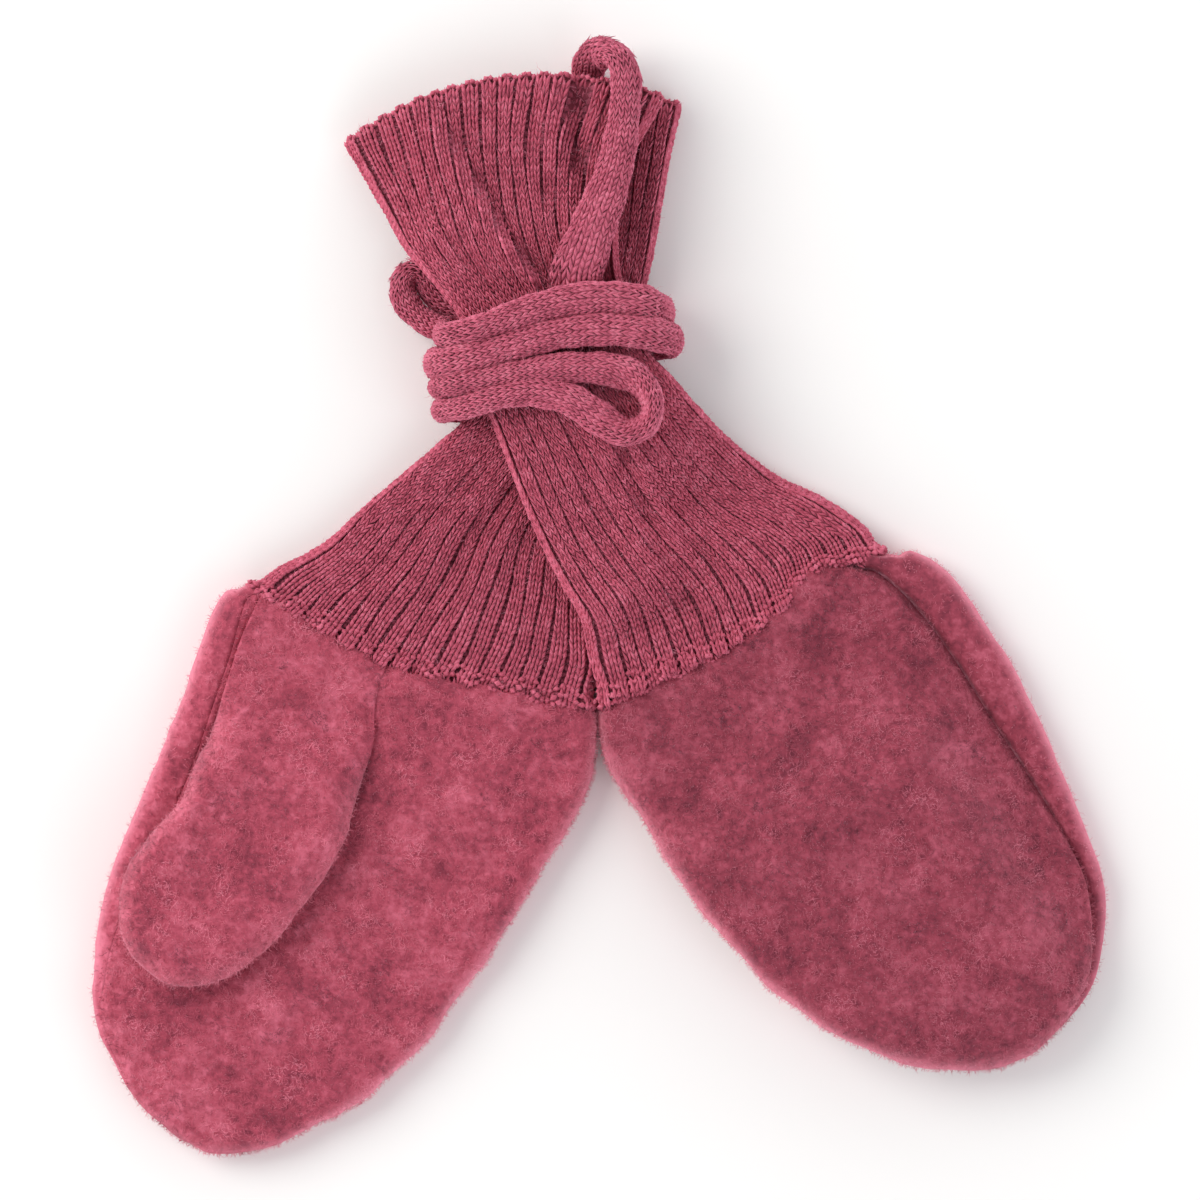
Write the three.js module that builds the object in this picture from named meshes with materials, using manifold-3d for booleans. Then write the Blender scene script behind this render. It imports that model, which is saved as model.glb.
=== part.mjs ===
// A pair of baby mittens in thick fleece, laid flat with their ribbed knit cuffs crossed
// and tied together by a knitted cord.
// Millimetres, +Z up, resting on z = 0. The fingers point towards -Y, the cuffs towards +Y.
// The right mitten lies palm up with its thumb folded over the palm.
// The left mitten lies back up with its thumb folded away underneath.

import * as THREE from "three";
import { mergeVertices } from "three/addons/utils/BufferGeometryUtils.js";
import Module from "manifold-3d";

// Cloth
const SEAM_GAP = 0.36;
const CUFF_SEAM_GAP = 0.5;
const FLEECE = 2.4;
const KNIT = 1.4;
const LAYER_GAP = 0.35;
const RIB_HEIGHT = 0.6;
const RIBS_AROUND = 36;
const POINTS_PER_RIB = 3;
const RIM_SCALLOP = 0.7;

// The hand of a mitten, flattened
const HAND_STACK = 7.6;
const HAND_CROWN = 1.0;
const HAND_ROLL = 4.6;
const CROWN_UNDER_THUMB = 0.8 * HAND_CROWN;
const SEAM_DIP = 0.5;
const SEAM_DIP_REACH = 1.5;
const SEAM_LINE_REACH = 25;
const RESTING_BELOW = 0.5;

// The folded thumb, measured up from the palm that it lies on
const THUMB_RISE = 7.9;
const THUMB_REST = 0.5;
const THUMB_SEAM_RISE = 3.6;
const THUMB_ROLL = 6;
const THUMB_SWELL = { from: 14, to: 43 };
const THUMB_EDGE_LIFT = { from: 30, to: 38.9 };
const THUMB_CROTCH = 39;
const THUMB_SHOULDER = 2;

// How finely the cloth is drawn, and how its lines spread: pastRoll and pastSeam are where
// the narrow rows by the seam end, as a share of the roll and in mm from the seam.
const HAND_STEPS = { along: 16, turn: 5, flat: 4 };
const ROW_SPREAD = { pastRoll: 1.1, pastSeam: 2.5, power: 1.3 };
const SPINE_SPREAD = 1.7;
const THUMB_STEPS = { root: 5, free: 8, turn: 4, flat: 2 };
const CORD_SIDES = 10;
const CORD_STEP = 5;
const SAME_PLACE = 1e-4;
const NO_EDGE = 1e-9;

const fleeceLook = { color: "#b0486a", roughness: 0.95, metalness: 0 };
const knitLook = { color: "#a8405f", roughness: 0.9, metalness: 0 };
const cordLook = { color: "#b44a69", roughness: 0.9, metalness: 0 };

// Each side seam's length over the cloth from the outline: onto the palm at the thumb side
// and onto the back at the other side. reach runs along the outline from cuff, 0, to tip, 1.
const SIDE_SEAMS = [
  { reach: 0.0, thumbSide: 5.3, outerSide: 10.0 },
  { reach: 0.08, thumbSide: 7.8, outerSide: 11.0 },
  { reach: 0.2, thumbSide: 8.4, outerSide: 11.0 },
  { reach: 0.35, thumbSide: 9.0, outerSide: 10.4 },
  { reach: 0.5, thumbSide: 8.0, outerSide: 7.9 },
  { reach: 0.65, thumbSide: 5.0, outerSide: 4.8 },
  { reach: 0.8, thumbSide: 2.2, outerSide: 2.2 },
  { reach: 0.91, thumbSide: 0.7, outerSide: 0.7 },
  { reach: 1.0, thumbSide: 0.0, outerSide: 0.0 },
];

// A hand is drawn in its own plan: along runs from the cuff seam to the tip, and across
// from the thumb side to the other side. The last row of an outline is its tip.
const RIGHT_HAND = {
  seat: [-34.0, -5.8],
  turn: -21.4,
  palmUp: true,
  outline: [
    { along: 0, left: -35.5, right: 35.3 },
    { along: 3, left: -38.3, right: 37.3 },
    { along: 8, left: -39.3, right: 38.7 },
    { along: 14, left: -39.2, right: 39.6 },
    { along: 30, left: -38.9, right: 37.6 },
    { along: 46, left: -39.0, right: 34.8 },
    { along: 60, left: -39.3, right: 31.4 },
    { along: 72, left: -37.9, right: 27.9 },
    { along: 82, left: -35.3, right: 22.6 },
    { along: 91, left: -30.4, right: 16.3 },
    { along: 99, left: -22.2, right: 9.3 },
    { along: 105.1, left: -4.5, right: -4.5 },
  ],
  spine: { to: 72, drift: -5 },
  seamLine: [
    { across: -35.5, dip: 1.0 },
    { across: -25, dip: 2.8 },
    { across: -14, dip: 4.7 },
    { across: -4, dip: 5.8 },
    { across: 6, dip: 4.8 },
    { across: 17, dip: 2.4 },
    { across: 29, dip: 0.8 },
    { across: 35.3, dip: -1.1 },
  ],
  thumb: {
    outline: [
      { along: 0, left: -31.6, right: -4.6 },
      { along: 9, left: -32.2, right: -4.0 },
      { along: 22, left: -31.6, right: -1.2 },
      { along: 34, left: -31.3, right: -0.6 },
      { along: 43, left: -31.4, right: 0.0 },
      { along: 52, left: -34.6, right: -2.0 },
      { along: 62, left: -36.0, right: -5.2 },
      { along: 70, left: -33.9, right: -9.2 },
      { along: 75, left: -29.0, right: -14.6 },
      { along: 77.3, left: -21.5, right: -21.5 },
    ],
    spine: { to: 58, start: -18, drift: -3 },
  },
};

const LEFT_HAND = {
  seat: [26.8, -2.6],
  turn: 31.06,
  palmUp: false,
  outline: [
    { along: 0, left: -31.0, right: 31.0 },
    { along: 3, left: -33.0, right: 36.4 },
    { along: 8, left: -34.8, right: 38.9 },
    { along: 16, left: -34.8, right: 40.4 },
    { along: 32, left: -34.4, right: 41.0 },
    { along: 46, left: -33.5, right: 39.9 },
    { along: 58, left: -31.5, right: 38.2 },
    { along: 68, left: -27.9, right: 36.6 },
    { along: 78, left: -22.6, right: 34.4 },
    { along: 87, left: -16.2, right: 28.9 },
    { along: 94.5, left: -8.3, right: 21.3 },
    { along: 98.7, left: 5.5, right: 5.5 },
  ],
  spine: { to: 66, drift: 5 },
  seamLine: [
    { across: -31, dip: -1.2 },
    { across: -14, dip: 0.8 },
    { across: -3, dip: 2.2 },
    { across: 8, dip: 0.8 },
    { across: 17, dip: -2.6 },
    { across: 24, dip: -0.7 },
    { across: 31, dip: 1.4 },
  ],
  thumb: {
    outline: [
      { along: 0, left: -26.8, right: 2.0 },
      { along: 9, left: -27.8, right: 3.0 },
      { along: 22, left: -27.4, right: 6.0 },
      { along: 34, left: -26.8, right: 7.6 },
      { along: 43, left: -26.6, right: 8.5 },
      { along: 52, left: -27.4, right: 6.4 },
      { along: 62, left: -27.5, right: 3.3 },
      { along: 70, left: -25.0, right: -0.8 },
      { along: 75, left: -20.4, right: -6.2 },
      { along: 77.3, left: -13.5, right: -13.5 },
    ],
    spine: { to: 58, start: -12, drift: 0 },
  },
  // The palm rises over the thumb beneath it and comes down again past its tip and side.
  lift: { tipFrom: 78, tipTo: 108, sideFrom: 11, sideTo: 31 },
};

// The cuffs are flattened tubes. A row is one section: its two ends in plan, how far its
// middle bows towards the rim, the height of its underside at each end, where across the
// section (from -1 to 1) the height changes, its thickness, its gathering and how much of
// the hand's seam line it follows. The first row is the seam and the last the open rim.
// A fold is pressed into the upper side from one row and place across to another, with a
// depth and a half width at each of its ends.
const RIGHT_CUFF = {
  hand: RIGHT_HAND,
  rows: [
    { left: [-67.0, 6.9], right: [-1.2, -18.4], low: [0, 0], ramp: [-1, 1], stack: 7.6, follow: 1 },
    { left: [-60.0, 10.2], right: [-2.1, -8.6], low: [0, 0], ramp: [-1, 1], stack: 7.0, follow: 0.6 },
    { left: [-52.2, 14.2], right: [-1.9, 0.5], low: [0, 0], ramp: [-1, 1], stack: 6.6, follow: 0.25 },
    { left: [-45.0, 20.4], right: [-0.4, 10.0], low: [0, 0], ramp: [-1, 1], stack: 6.2 },
    { left: [-37.8, 26.5], right: [2.1, 19.5], low: [0.6, 0.6], ramp: [-1, 1], stack: 6.0 },
    { left: [-30.6, 32.6], right: [4.7, 27.6], low: [3.4, 3.0], ramp: [-1, 1], stack: 5.8, gather: 0.1 },
    { left: [-25.2, 38.0], right: [6.9, 35.6], low: [5.1, 5.1], ramp: [-1, 1], stack: 5.6, gather: 0.2 },
    { left: [-24.4, 45.6], right: [9.2, 44.2], low: [5.2, 5.2], ramp: [-1, 1], stack: 5.4, gather: 0.3 },
    { left: [-24.4, 52.2], right: [10.0, 52.2], low: [5.2, 5.2], ramp: [-1, 1], stack: 5.4, gather: 0.4 },
    { left: [-24.0, 59.8], right: [8.8, 59.8], low: [5.0, 5.0], ramp: [-1, 1], stack: 5.4, gather: 0.3 },
    { left: [-24.6, 69.3], right: [10.6, 69.3], low: [4.7, 4.0], ramp: [-1, 1], stack: 5.6, gather: 0.2 },
    { left: [-26.0, 78.8], right: [12.3, 79.7], low: [1.6, 1.4], ramp: [-1, 1], stack: 5.8, gather: 0.1 },
    { left: [-26.8, 87.3], right: [13.9, 88.6], low: [0, 0], ramp: [-1, 1], stack: 6.0 },
    { left: [-27.4, 94.9], right: [16.0, 97.8], low: [0, 0], ramp: [-1, 1], stack: 6.2, bow: 1.5 },
  ],
  folds: [
    { fromRow: 1, toRow: 5, from: -0.2, to: 0.1, depth: [0.8, 1.7], width: [0.14, 0.1] },
    { fromRow: 10, toRow: 13, from: 0.5, to: 0.62, depth: [1.2, 1.8], width: [0.12, 0.12] },
  ],
};

const LEFT_CUFF = {
  hand: LEFT_HAND,
  rows: [
    { left: [0.4, -18.8], right: [53.3, 13.6], low: [0, 0], ramp: [-1, 1], stack: 7.6, follow: 1 },
    { left: [-0.1, -8.1], right: [50.4, 17.2], low: [2.6, 0], ramp: [-0.9, -0.2], stack: 7.0, follow: 0.6 },
    { left: [-2.1, -1.4], right: [43.1, 22.0], low: [7.1, 0], ramp: [-0.75, 0.1], stack: 6.6, follow: 0.25 },
    { left: [-7.0, 5.6], right: [35.5, 25.6], low: [7.2, 0], ramp: [-0.45, 0.5], stack: 6.2 },
    { left: [-11.0, 13.2], right: [29.8, 29.4], low: [7.2, 0.5], ramp: [-0.3, 0.7], stack: 6.2 },
    { left: [-15.0, 22.7], right: [24.3, 33.9], low: [10.1, 3.0], ramp: [0.2, 1], stack: 6.0 },
    { left: [-18.8, 32.6], right: [19.0, 39.2], low: [11.6, 7.0], ramp: [0.35, 1], stack: 5.7, gather: 0.1 },
    { left: [-22.4, 41.1], right: [14.4, 44.6], low: [11.7, 10.4], ramp: [0.6, 1], stack: 5.6, gather: 0.2 },
    { left: [-25.4, 48.7], right: [9.5, 49.9], low: [11.7, 11.5], ramp: [0, 1], stack: 5.4, gather: 0.3 },
    { left: [-26.3, 55.6], right: [7.5, 56.3], low: [11.6, 11.6], ramp: [0, 1], stack: 5.4, gather: 0.4 },
    { left: [-30.5, 61.7], right: [4.4, 63.6], low: [10.9, 11.2], ramp: [-1, 0], stack: 5.4, gather: 0.3 },
    { left: [-36.9, 69.3], right: [3.6, 72.1], low: [7.6, 11.0], ramp: [-1, -0.6], stack: 5.6, bow: 0.6 },
    { left: [-41.0, 76.9], right: [4.2, 79.7], low: [3.4, 8.4], ramp: [-1, -0.42], stack: 5.8, bow: 2 },
    { left: [-45.0, 83.9], right: [6.7, 87.9], low: [1.2, 7.0], ramp: [-1, -0.36], stack: 6.0, bow: 4.6 },
    { left: [-49.0, 90.2], right: [13.1, 98.7], low: [0.2, 6.6], ramp: [-1, -0.36], stack: 6.2, bow: 7.8 },
  ],
  folds: [
    { fromRow: 1, toRow: 6, from: -0.34, to: 0.12, depth: [1.0, 1.8], width: [0.12, 0.07] },
    { fromRow: 3, toRow: 6, from: 0.3, to: 0.5, depth: [0.6, 1.3], width: [0.12, 0.08] },
    { fromRow: 10, toRow: 14, from: 0.16, to: -0.42, depth: [1.4, 1.0], width: [0.12, 0.16] },
    { fromRow: 12, toRow: 14, from: 0.72, to: 0.5, depth: [1.2, 2.0], width: [0.06, 0.06] },
  ],
};
const GATHERS_ACROSS = 4;

// The cord is a tube of flat knit. A row is one place on its route: its middle, its width
// and thickness there, and the way that its width runs.
const ALONG_Y = [0, 1, 0];
const CORDS = {
  cord_top_loop: [
    { at: [-3.6, 99.2, 2.6], wide: 6.0, thick: 4.4, side: [1, 0, 0] },
    { at: [-3.6, 103.8, 3.4], wide: 6.0, thick: 4.4, side: [1, 0, 0] },
    { at: [-3.1, 106.9, 6.2], wide: 6.0, thick: 4.4, side: [1, 0, 0] },
    { at: [-1.6, 108.1, 10.2], wide: 5.8, thick: 4.4, side: [0.8, -0.3, 0.5] },
    { at: [0.8, 108.1, 13.4], wide: 5.8, thick: 4.4, side: [0.2, -0.6, 0.8] },
    { at: [3.4, 106.4, 15.5], wide: 5.8, thick: 4.4, side: [-0.5, -0.5, 0.6] },
    { at: [4.9, 102.9, 16.0], wide: 6.0, thick: 4.4, side: [-1, -0.1, 0.1] },
    { at: [5.2, 97.8, 15.9], wide: 6.2, thick: 4.4, side: [-1, 0, 0] },
    { at: [3.4, 88.3, 15.9], wide: 7.0, thick: 4.4, side: [-1, 0, 0] },
    { at: [0.8, 79.0, 17.8], wide: 7.6, thick: 4.4, side: [-1, 0, 0] },
    { at: [-1.5, 71.4, 19.3], wide: 9.4, thick: 4.2, side: [-1, 0, 0] },
    { at: [-3.5, 66.8, 19.4], wide: 9.6, thick: 4.0, side: [-1, 0, 0] },
    { at: [-4.3, 64.6, 19.4], wide: 9.6, thick: 3.8, side: [-1, 0, 0] },
    { at: [-4.3, 63.4, 19.4], wide: 9.6, thick: 3.8, side: [-1, 0, 0] },
  ],
  cord_wrap_upper: [
    { at: [-8.0, 56.4, 2.2], wide: 5.6, thick: 4.2, side: ALONG_Y },
    { at: [2.0, 57.2, 2.2], wide: 5.6, thick: 4.2, side: ALONG_Y },
    { at: [10.4, 57.6, 3.2], wide: 5.8, thick: 4.2, side: ALONG_Y },
    { at: [12.3, 57.9, 8.0], wide: 5.8, thick: 4.4, side: ALONG_Y },
    { at: [11.2, 58.5, 14.5], wide: 5.8, thick: 4.4, side: ALONG_Y },
    { at: [8.8, 59.2, 19.0], wide: 5.8, thick: 4.4, side: ALONG_Y },
    { at: [2.0, 59.8, 20.2], wide: 5.8, thick: 4.6, side: ALONG_Y },
    { at: [-8.0, 59.0, 20.4], wide: 5.8, thick: 4.6, side: ALONG_Y },
    { at: [-18.0, 57.1, 20.2], wide: 5.8, thick: 4.6, side: ALONG_Y },
    { at: [-24.2, 55.9, 20.1], wide: 5.6, thick: 4.6, side: ALONG_Y },
    { at: [-28.2, 55.1, 18.0], wide: 5.6, thick: 4.6, side: ALONG_Y },
    { at: [-29.7, 54.6, 14.0], wide: 5.6, thick: 4.6, side: ALONG_Y },
    { at: [-29.2, 54.6, 7.0], wide: 5.6, thick: 4.6, side: ALONG_Y },
    { at: [-25.0, 54.9, 2.8], wide: 5.6, thick: 4.2, side: ALONG_Y },
    { at: [-17.0, 55.6, 2.2], wide: 5.6, thick: 4.2, side: ALONG_Y },
    { at: [-8.4, 56.3, 2.2], wide: 5.6, thick: 4.2, side: ALONG_Y },
  ],
  cord_wrap_middle: [
    { at: [-8.0, 50.2, 2.2], wide: 5.6, thick: 4.2, side: ALONG_Y },
    { at: [3.0, 51.0, 2.2], wide: 5.6, thick: 4.2, side: ALONG_Y },
    { at: [10.6, 51.6, 3.1], wide: 5.8, thick: 4.2, side: ALONG_Y },
    { at: [13.6, 51.9, 8.0], wide: 5.8, thick: 4.6, side: ALONG_Y },
    { at: [13.2, 52.4, 15.0], wide: 5.8, thick: 4.6, side: ALONG_Y },
    { at: [9.6, 53.0, 19.4], wide: 5.8, thick: 4.6, side: ALONG_Y },
    { at: [2.0, 53.6, 20.6], wide: 5.8, thick: 4.6, side: ALONG_Y },
    { at: [-8.0, 52.8, 20.8], wide: 5.8, thick: 4.6, side: ALONG_Y },
    { at: [-18.0, 50.9, 20.6], wide: 5.8, thick: 4.6, side: ALONG_Y },
    { at: [-24.2, 49.7, 20.2], wide: 5.6, thick: 4.6, side: ALONG_Y },
    { at: [-28.4, 48.8, 18.4], wide: 5.6, thick: 4.6, side: ALONG_Y },
    { at: [-30.8, 48.4, 14.0], wide: 5.6, thick: 4.6, side: ALONG_Y },
    { at: [-30.4, 48.4, 7.0], wide: 5.6, thick: 4.6, side: ALONG_Y },
    { at: [-25.6, 48.7, 2.8], wide: 5.6, thick: 4.2, side: ALONG_Y },
    { at: [-17.0, 49.4, 2.2], wide: 5.6, thick: 4.2, side: ALONG_Y },
    { at: [-8.4, 50.1, 2.2], wide: 5.6, thick: 4.2, side: ALONG_Y },
  ],
  cord_low_loop: [
    { at: [-17.5, 43.4, 2.2], wide: 4.0, thick: 4.2, side: ALONG_Y },
    { at: [-25.6, 43.1, 2.9], wide: 4.2, thick: 4.6, side: ALONG_Y },
    { at: [-29.8, 43.1, 8.0], wide: 4.2, thick: 5.0, side: ALONG_Y },
    { at: [-29.4, 43.3, 14.6], wide: 4.2, thick: 5.0, side: ALONG_Y },
    { at: [-25.8, 43.9, 18.8], wide: 4.4, thick: 4.8, side: ALONG_Y },
    { at: [-17.0, 45.3, 20.2], wide: 4.6, thick: 4.6, side: ALONG_Y },
    { at: [-6.0, 46.6, 20.4], wide: 5.4, thick: 4.6, side: ALONG_Y },
    { at: [1.5, 46.3, 20.2], wide: 5.8, thick: 4.4, side: [0.2, 1, 0] },
    { at: [6.8, 44.6, 20.2], wide: 6.2, thick: 4.2, side: [0.5, 0.7, 0.6] },
    { at: [9.9, 40.6, 20.7], wide: 6.4, thick: 4.0, side: [0.3, 0.2, 1] },
    { at: [9.3, 36.3, 20.7], wide: 6.4, thick: 4.0, side: [0.2, -0.3, 1] },
    { at: [5.2, 34.2, 20.4], wide: 6.2, thick: 4.0, side: [0, -0.7, 0.7] },
    { at: [0.2, 35.6, 20.0], wide: 5.8, thick: 4.2, side: [-0.2, -1, 0.1] },
    { at: [-6.0, 39.4, 20.1], wide: 5.8, thick: 4.4, side: [-0.2, -1, 0] },
    { at: [-13.0, 41.0, 20.2], wide: 4.8, thick: 4.6, side: [0, -1, 0] },
    { at: [-20.0, 40.2, 20.2], wide: 4.4, thick: 4.6, side: [0, -1, 0] },
    { at: [-25.6, 38.9, 17.8], wide: 4.2, thick: 4.6, side: [0, -1, 0] },
    { at: [-29.2, 38.9, 13.0], wide: 4.2, thick: 4.6, side: [0, -1, 0] },
    { at: [-29.4, 38.9, 7.4], wide: 4.2, thick: 4.6, side: [0, -1, 0] },
    { at: [-25.4, 39.0, 2.8], wide: 4.2, thick: 4.4, side: [0, -1, 0] },
    { at: [-17.5, 39.0, 2.2], wide: 4.0, thick: 4.2, side: [0, -1, 0] },
  ],
  cord_left_loop: [
    { at: [-15.5, 62.8, 2.2], wide: 5.0, thick: 4.2, side: ALONG_Y },
    { at: [-24.0, 64.8, 2.2], wide: 5.2, thick: 4.2, side: ALONG_Y },
    { at: [-30.6, 67.2, 2.4], wide: 5.2, thick: 4.2, side: ALONG_Y },
    { at: [-35.8, 66.4, 2.8], wide: 5.0, thick: 4.2, side: [-0.5, 0.8, 0.3] },
    { at: [-37.6, 63.0, 3.3], wide: 4.8, thick: 4.2, side: [-0.9, 0, 0.4] },
    { at: [-37.0, 59.4, 3.8], wide: 4.8, thick: 4.2, side: [-0.8, -0.5, 0.3] },
    { at: [-35.0, 57.0, 4.2], wide: 4.8, thick: 4.2, side: [-0.4, -1, 0.2] },
    { at: [-32.8, 56.2, 4.4], wide: 4.8, thick: 4.2, side: [0, -1, 0] },
    { at: [-31.2, 56.1, 4.4], wide: 4.8, thick: 4.2, side: [0, -1, 0] },
  ],
};

// Small helpers

const mix = (a, b, share) => a + (b - a) * share;
const clamp = (value) => Math.min(1, Math.max(0, value));
const ease = (value, from, to) => {
  const share = clamp((value - from) / (to - from));
  return share * share * (3 - 2 * share);
};

// Reads one column of a table at any value of its key column, along a smooth curve.
function readColumn(rows, key, name) {
  const last = rows.length - 1;
  const slopeAt = (i) => {
    const before = rows[Math.max(0, i - 1)];
    const after = rows[Math.min(last, i + 1)];
    return (after[name] - before[name]) / (after[key] - before[key]);
  };
  return (value) => {
    const held = Math.min(rows[last][key], Math.max(rows[0][key], value));
    let i = 0;
    while (i < last - 1 && held > rows[i + 1][key]) i += 1;
    const span = rows[i + 1][key] - rows[i][key];
    const s = (held - rows[i][key]) / span;
    return (
      rows[i][name] * (1 + 2 * s) * (1 - s) ** 2 +
      slopeAt(i) * span * s * (1 - s) ** 2 +
      rows[i + 1][name] * s * s * (3 - 2 * s) +
      slopeAt(i + 1) * span * s * s * (s - 1)
    );
  };
}

function geometryFrom(triangles) {
  const positions = triangles.flatMap((triangle) => triangle.flatMap((p) => [p.x, p.y, p.z]));
  const loose = new THREE.BufferGeometry();
  loose.setAttribute("position", new THREE.Float32BufferAttribute(positions, 3));
  return mergeVertices(loose, SAME_PLACE);
}

// Six times the volume that a list of triangles encloses, negative when they face inwards.
function signedVolume(triangles) {
  const cross = new THREE.Vector3();
  return triangles.reduce((sum, [a, b, c]) => sum + a.dot(cross.crossVectors(b, c)), 0);
}

function facingOut(triangles) {
  const hasArea = ([a, b, c]) => a.distanceTo(b) * b.distanceTo(c) * c.distanceTo(a) > NO_EDGE;
  const kept = triangles.filter(hasArea);
  return signedVolume(kept) < 0 ? kept.map(([a, b, c]) => [a, c, b]) : kept;
}

const quad = (a, b, c, d) => [
  [a, b, c],
  [a, c, d],
];

// Closes an outer and an inner sheet of points, [column][row], into one wall. The sheets'
// last rows are folded onto themselves along the spine, so they have no rim.
function pocketWall(outer, inner) {
  const lastColumn = outer.length - 1;
  const lastRow = outer[0].length - 1;
  const faces = [];
  for (let i = 0; i < lastColumn; i += 1) {
    for (let j = 0; j < lastRow; j += 1) {
      faces.push(...quad(outer[i][j], outer[i + 1][j], outer[i + 1][j + 1], outer[i][j + 1]));
      faces.push(...quad(inner[i][j], inner[i][j + 1], inner[i + 1][j + 1], inner[i + 1][j]));
    }
    faces.push(...quad(outer[i + 1][0], outer[i][0], inner[i][0], inner[i + 1][0]));
  }
  for (let j = 0; j < lastRow; j += 1) {
    faces.push(...quad(outer[0][j], outer[0][j + 1], inner[0][j + 1], inner[0][j]));
    const [o, n] = [outer[lastColumn], inner[lastColumn]];
    faces.push(...quad(o[j + 1], o[j], n[j], n[j + 1]));
  }
  return facingOut(faces);
}

// The hands

// From a hand's own plan to the part's plan. Near the cuff, lines follow the seam's curve.
function placer(hand) {
  const angle = THREE.MathUtils.degToRad(hand.turn);
  const dipAt = readColumn(hand.seamLine, "across", "dip");
  return (across, along) => {
    const bent = along + dipAt(across) * (1 - ease(along, 0, SEAM_LINE_REACH));
    return [
      hand.seat[0] + across * Math.cos(angle) + bent * Math.sin(angle),
      hand.seat[1] + across * Math.sin(angle) - bent * Math.cos(angle),
    ];
  };
}

// How far the palm is raised from the floor at a place in the hand's plan.
function liftAt(hand, across, along) {
  if (!hand.lift) return 0;
  const rise = ease(along, THUMB_SWELL.from, THUMB_SWELL.to);
  const tip = 1 - ease(along, hand.lift.tipFrom, hand.lift.tipTo);
  const side = 1 - ease(across, hand.lift.sideFrom, hand.lift.sideTo);
  return THUMB_RISE * rise * tip * side;
}

// The two halves of an outline, each read by the share of its length from cuff to tip.
function outlineHalves(rows) {
  const tip = rows.length - 1;
  const points = [
    ...rows.map((row) => new THREE.Vector3(row.left, row.along, 0)),
    ...rows.slice(0, tip).reverse().map((row) => new THREE.Vector3(row.right, row.along, 0)),
  ];
  const curve = new THREE.CatmullRomCurve3(points, false, "centripetal");
  const SAMPLES = 240;
  return [0, 1].map((side) => {
    const line = [];
    let length = 0;
    for (let k = 0; k <= SAMPLES; k += 1) {
      const point = curve.getPoint(side ? 1 - (0.5 * k) / SAMPLES : (0.5 * k) / SAMPLES);
      if (k) length += point.distanceTo(line[k - 1].point);
      line.push({ point, length });
    }
    return (reach) => {
      const wanted = reach * length;
      let k = 1;
      while (k < SAMPLES && line[k].length < wanted) k += 1;
      const [a, b] = [line[k - 1], line[k]];
      return a.point.clone().lerp(b.point, (wanted - a.length) / (b.length - a.length));
    };
  });
}

// Straight lines across a pocket, each from a place on its outline to a place on its spine.
// A span starts at a height along the hand and runs to the next span, or to the tip.
function pocketLines(outline, spine, spans) {
  const halves = outlineHalves(outline);
  const start = spine.start ?? 0;
  const REACH_STEP = 0.002;
  const reachesOf = (half) => {
    const marks = spans.map(({ from }) => {
      let reach = 0;
      while (half(reach).y < from) reach += REACH_STEP;
      return reach;
    });
    const inSpan = ({ steps }, i) =>
      Array.from({ length: steps }, (_, n) => mix(marks[i], marks[i + 1] ?? 1, n / steps));
    return [...spans.flatMap(inSpan), 1];
  };
  const lineOf = (side) => (reach, n, reaches) => {
    const edge = halves[side](reach);
    const left = 1 - n / (reaches.length - 1);
    const down = mix(spans[0].from, spine.to, 1 - left ** SPINE_SPREAD);
    const middle = new THREE.Vector3(start + (spine.drift * down) / spine.to, down, 0);
    return { side, reach, edge, middle, depth: edge.distanceTo(middle) };
  };
  const [leftLines, rightLines] = halves.map((half, side) => reachesOf(half).map(lineOf(side)));
  return [...leftLines, ...rightLines.reverse().slice(1)];
}

const planAt = (line, inset) => line.edge.clone().lerp(line.middle, inset / line.depth);

const QUARTER_TURN = (Math.PI / 4) * (HAND_ROLL + HAND_STACK / 2);

// A point of a hand's outside: way is the length over the cloth from the outline, positive
// over the upper face and negative under the lower one.
function handPoint(hand, place, line, way) {
  const size = Math.abs(way);
  const face = Math.sign(way);
  const angle = Math.min(1, size / QUARTER_TURN) * (Math.PI / 2);
  const inset = HAND_ROLL * (1 - Math.cos(angle)) + Math.max(0, size - QUARTER_TURN);
  const plan = planAt(line, inset);
  const share = clamp(inset / line.depth);
  const crown = face > 0 ? HAND_CROWN * share * (2 - share) : 0;
  const half = HAND_STACK / 2;
  const z = liftAt(hand, plan.x, plan.y) + half * (1 + face * Math.sin(angle)) + crown;
  return new THREE.Vector3(...place(plan.x, plan.y), z);
}

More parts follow.
